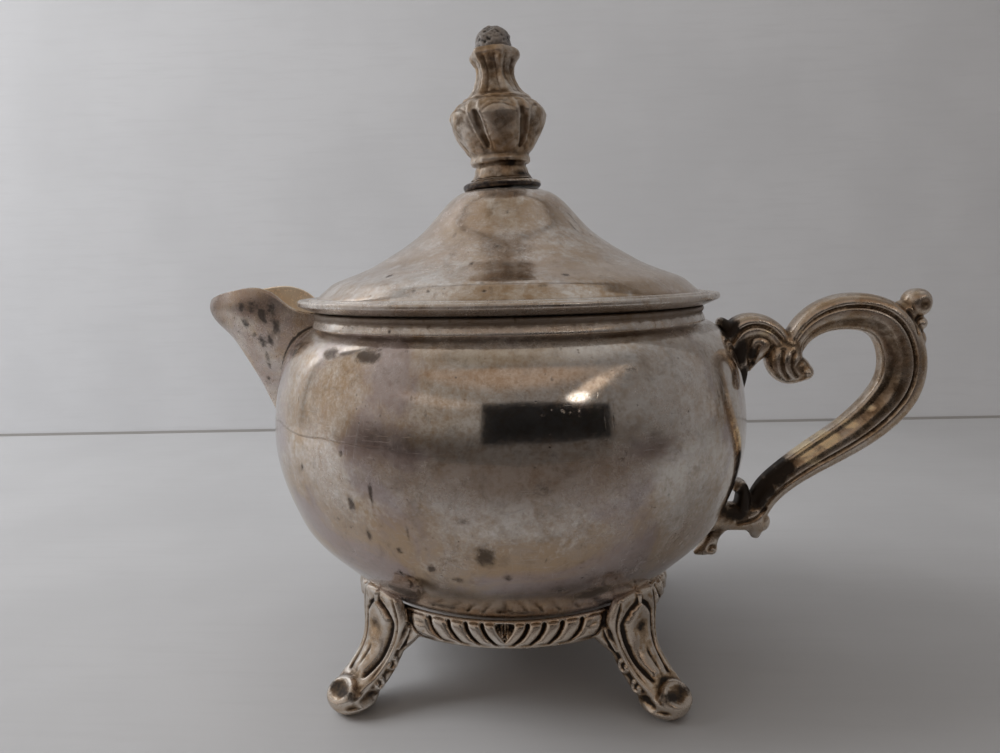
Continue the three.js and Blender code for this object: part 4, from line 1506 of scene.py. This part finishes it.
def stage():
    """A floor, a wall behind the pot, and a dark strip where they meet as a painted shadow line."""
    ends = (FLOOR_FRONT, FLOOR_FRONT, WALL_BEHIND, WALL_BEHIND)
    floor = [[BOARD_REACH * x, y, 0] for x, y in zip((-1, 1, 1, -1), ends)]
    board("stage_floor", floor, paper("pale_floor", FLOOR_COLOR))
    upright_board("wall", WALL_BEHIND, -1, BOARD_REACH, WALL_COLOR)
    # A dark strip just before the wall's foot: a painted shadow line.
    upright_board("joint_shadow", WALL_BEHIND - 0.3, -1, 1.5, JOINT_SHADOW_COLOR)


def area_light(name, place, aim, size, power, color):
    data = bpy.data.lights.new(name, "AREA")
    data.shape = "RECTANGLE"
    data.size, data.size_y = size[0] * MM, size[1] * MM
    data.energy = power
    data.color = color
    lamp = bpy.data.objects.new(name, data)
    bpy.context.scene.collection.objects.link(lamp)
    lamp.location = to_row(place)
    lamp.rotation_euler = (to_row(aim) - to_row(place)).to_track_quat("-Z", "Y").to_euler()
    return lamp


CARD_SIDES = (-40.0, 180.0)
CARD_HEIGHTS = (60.0, 119.0)
CARD_FRONT = -206.0
CARD_COLOR = (0.012, 0.012, 0.013)


def dark_card():
    """A dull card in front of the pot that only the metal sees."""
    g = Graph("flag_dark")
    darker = tuple(0.6 * c for c in CARD_COLOR)
    color = g.blend(g.span(g.noise(45, 2), 0.35, 0.65), CARD_COLOR, darker)
    material = g.finish(color, 0.9, g.bump(g.noise(4), 0.1, 0.2), 0.0)
    (left, right), (low, high) = CARD_SIDES, CARD_HEIGHTS
    corners = [[left, low], [right, low], [right, high], [left, high]]
    piece = board("stage_flag_dark", [[x, CARD_FRONT, z] for x, z in corners], material)
    piece.visible_camera = False
    piece.visible_diffuse = False
    piece.visible_shadow = False


ROOM_SIDES = [
    [-180, 0.50, 0.49, 0.49], [-130, 0.52, 0.50, 0.49], [-100, 0.60, 0.57, 0.54],
    [-78, 0.56, 0.52, 0.49], [-55, 0.38, 0.34, 0.31], [-25, 0.27, 0.25, 0.23], [15, 0.19, 0.17, 0.16],
    [50, 0.155, 0.145, 0.14], [80, 0.20, 0.19, 0.185], [115, 0.29, 0.28, 0.28], [180, 0.34, 0.34, 0.34],
]
ROOM_TOP = [
    [-180, 0.45, 0.43, 0.42], [-110, 0.58, 0.54, 0.50], [-75, 0.36, 0.32, 0.28],
    [-40, 0.24, 0.20, 0.155], [40, 0.24, 0.20, 0.16], [75, 0.42, 0.40, 0.38], [120, 0.46, 0.45, 0.44],
    [180, 0.45, 0.43, 0.42],
]
CEILING = (0.33, 0.285, 0.235)
LOW_AHEAD = (0.085, 0.074, 0.068)
# Soft ovals of light: centre and size in degrees, tilt, share of the light and colour.
GLOWS = [
    [(5, 36), (62, 14), 0.0, 0.7, (0.43, 0.325, 0.25)],
    [(-36, 18), (30, 3.2), -3.0, 0.7, (0.56, 0.50, 0.46)],
    [(51, 26.5), (24, 4.2), 24.0, 0.85, (0.85, 0.68, 0.54)],
    [(35.5, 18.5), (7, 2.8), 0.0, 1.0, (2.6, 2.5, 2.4)],
]


def room_ramp(g, azimuth, stops):
    """Colours round the horizon, by degrees from the front, with the right side positive."""
    inputs = {"Value": azimuth, "From Min": -math.pi, "From Max": math.pi}
    share = g.node("ShaderNodeMapRange", inputs, {"clamp": False}).outputs[0]
    node = g.node("ShaderNodeValToRGB", {"Fac": share})
    ramp = node.color_ramp
    ramp.interpolation = "B_SPLINE"
    for place, *color in stops[1:-1]:
        ramp.elements.new((place + 180) / 360).color = (*color, 1)
    ramp.elements[0].color = (*stops[0][1:], 1)
    ramp.elements[-1].color = (*stops[-1][1:], 1)
    return node.outputs["Color"]


def glow(g, azimuth, height, centre, size, tilt):
    """A soft oval of light in the room, in degrees, its long way tilted up to the right."""
    aside = g.sub(azimuth, math.radians(centre[0]))
    above = g.sub(height, math.radians(centre[1]))
    cosine, sine = math.cos(math.radians(tilt)), math.sin(math.radians(tilt))
    along = g.add(g.mul(aside, cosine), g.mul(above, sine))
    off = g.sub(g.mul(above, cosine), g.mul(aside, sine))
    reach = oval(g, g.over(along, math.radians(size[0])), g.over(off, math.radians(size[1])))
    return g.span(reach, 1.0, 0.2)


def world():
    """A room seen only as light: pale on the left and behind, dim and warm in front."""
    sky = bpy.data.worlds.new("soft_room")
    bpy.context.scene.world = sky
    sky.use_nodes = True
    g = Graph.for_tree(sky.node_tree)
    parts = g.axes()
    azimuth = g.math("ARCTAN2", parts[0], g.mul(parts[1], -1.0))
    height = g.math("ARCSINE", parts[2])
    sides = room_ramp(g, azimuth, ROOM_SIDES)
    top = room_ramp(g, azimuth, ROOM_TOP)
    color = g.blend(g.span(height, math.radians(42), math.radians(64)), sides, top)
    color = g.blend(g.span(height, math.radians(66), math.radians(82)), color, CEILING)
    ahead = g.span(g.math("ABSOLUTE", azimuth), math.radians(95), math.radians(55))
    low = g.mul(g.span(height, math.radians(9), math.radians(-2)), ahead)
    color = g.blend(low, color, LOW_AHEAD)
    for centre, size, tilt, share, tint in GLOWS:
        light = glow(g, azimuth, height, centre, size, tilt)
        color = g.blend(g.mul(light, share), color, tint)
    background = g.node("ShaderNodeBackground", {"Color": color, "Strength": 1.0})
    output = g.node("ShaderNodeOutputWorld")
    g.tree.links.new(background.outputs[0], output.inputs[0])


# Lights: place, aim, size, power and colour.
LIGHTS = {
    "window_left": [(-620, 30, 470), (-60, 160, 60), (420, 420), 3.4, (1, 0.99, 0.985)],
    "fill_top": [(0, 60, 560), (0, 264, 220), (520, 520), 0.45, (1, 0.99, 0.98)],
}


def lights():
    """Soft lights on the floor, the wall and the matt parts. Polished metal mirrors the room."""
    for name, settings in LIGHTS.items():
        area_light(name, *settings).visible_glossy = False


# ---------------------------------------------------------------- assembly


def settle(piece, material, body, node):
    """Moves a piece from axis millimetres to the row frame and ties it to its CAD node."""
    piece.data.transform(Matrix.Translation(Vector((AXIS_X * MM, 0, 0))) @ Matrix.Scale(MM, 4))
    piece.data.materials.clear()
    piece.data.materials.append(material)
    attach(piece, body)
    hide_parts(node)


def pot_pieces():
    plate = plated_silver("worn_silver_plate", warmth=0.6, gloss=0.08, violet=0.65, clear=bowl_clear,
                          brown=bowl_brown_film_and_low_shade, dark=bowl_tide_line_and_corner_shade)
    casting = cast_silver("cast_silver_oxidised", warmth=0.2, dark=1.0, gloss=0.15, crisp=1.8)
    # A darker, browner copy of the casting silver: painted shade for the front right foot, which stands in
    # shadow.
    shaded_casting_copy = cast_silver("cast_silver_painted_shade", warmth=1.1, dark=1.0, gloss=0.17, crisp=3.2)
    grip = cast_silver("handle_silver", warmth=0.55, dark=0.88, gloss=0.18, crisp=1.2)
    pieces = [
        (stain(bowl_shell(), BOWL_STAINS, 26, 5), plate, "silver_plate", "bowl_body"),
        (rim_moulding(), rim_silver(), "silver_plate", "bowl_rim_wire"),
        (spout_shell(), spout_silver("spout_silver_and_gilt"), "silver_plate", "spout"),
        (handle_casting(), grip, "cast_silver", "handle"),
    ]
    for name, piece in feet().items():
        # The front right foot takes the painted-shade copy.
        metal = shaded_casting_copy if name == "front_right" else casting
        pieces.append((piece, metal, "cast_silver", "foot_" + name))
    return pieces


def lid_pieces():
    plate = plated_silver("worn_silver_plate_lid", warmth=1.15, gloss=0.09, violet=0.12)
    rim = bpy.data.materials["silver_rim"]
    brass = dull_brass("dull_brass")
    urn = cast_silver("finial_silver", warmth=0.3, dark=0.75, gloss=0.32, crisp=0.8)
    return [
        (stain(lid_shell(), LID_STAINS, 12, 6), plate, "silver_plate", "lid_dome"),
        (lid_moulding(), rim, "silver_plate", "lid_edge"),
        (lid_collar(), rim, "silver_plate", "lid_bezel"),
        (lean(finial_plate()), dark_metal_ring(), "cast_silver", "finial_base_plate"),
        (lean(finial_casting()), urn, "cast_silver", "finial_urn"),
        (lean(finial_cap()), dark_metal("rough_dark_tip"), "dark_tip", "finial_tip"),
        (finial_thread(), brass, "brass_fittings", "finial_stud"),
        (cup_washer(), brass, "brass_fittings", "finial_washer"),
        (hex_nut(), brass, "brass_fittings", "finial_nut"),
    ]


def rim_silver():
    return plated_silver("silver_rim", warmth=0.5, gloss=0.2, violet=0.1, wear=1.25, dark=rim_grime_and_shade)


def assemble():
    for body, pieces in (("pot", pot_pieces()), ("lid", lid_pieces())):
        for piece, material, slot, node in pieces:
            settle(piece, material, body, node)


def dark_metal_ring():
    """The base plate: silver on top, with painted shade, near black, round its edge."""
    g = Graph("base_plate_silver")
    high = g.axes()[2]
    uneven = g.noise(1.6, 4, 0.6)
    level = g.add(high, g.mul(uneven, 0.7))
    # Painted shade: the plate's edge below its top is near black.
    edge = g.span(level, PLATE_BOTTOM + 1.75, PLATE_BOTTOM + 1.35)
    silver = g.blend(g.span(uneven, 0.35, 0.6), WARM_FILM, SILVER)
    color = g.blend(g.mul(edge, g.span(uneven, 0.3, 0.6, 0.7, 1.0)), silver, PLATE_EDGE_SHADE)
    rough = g.span(uneven, 0.3, 0.7, 0.24, 0.42)
    return g.finish(color, rough, g.bump(uneven, 0.12, 0.5))


def write_sizes():
    def plain(box):
        return [list(map(float, corner)) for corner in box]


bpy.context.scene.view_settings.view_transform = "Standard"
camera()
stage()
world()
lights()
dark_card()
assemble()
write_sizes()
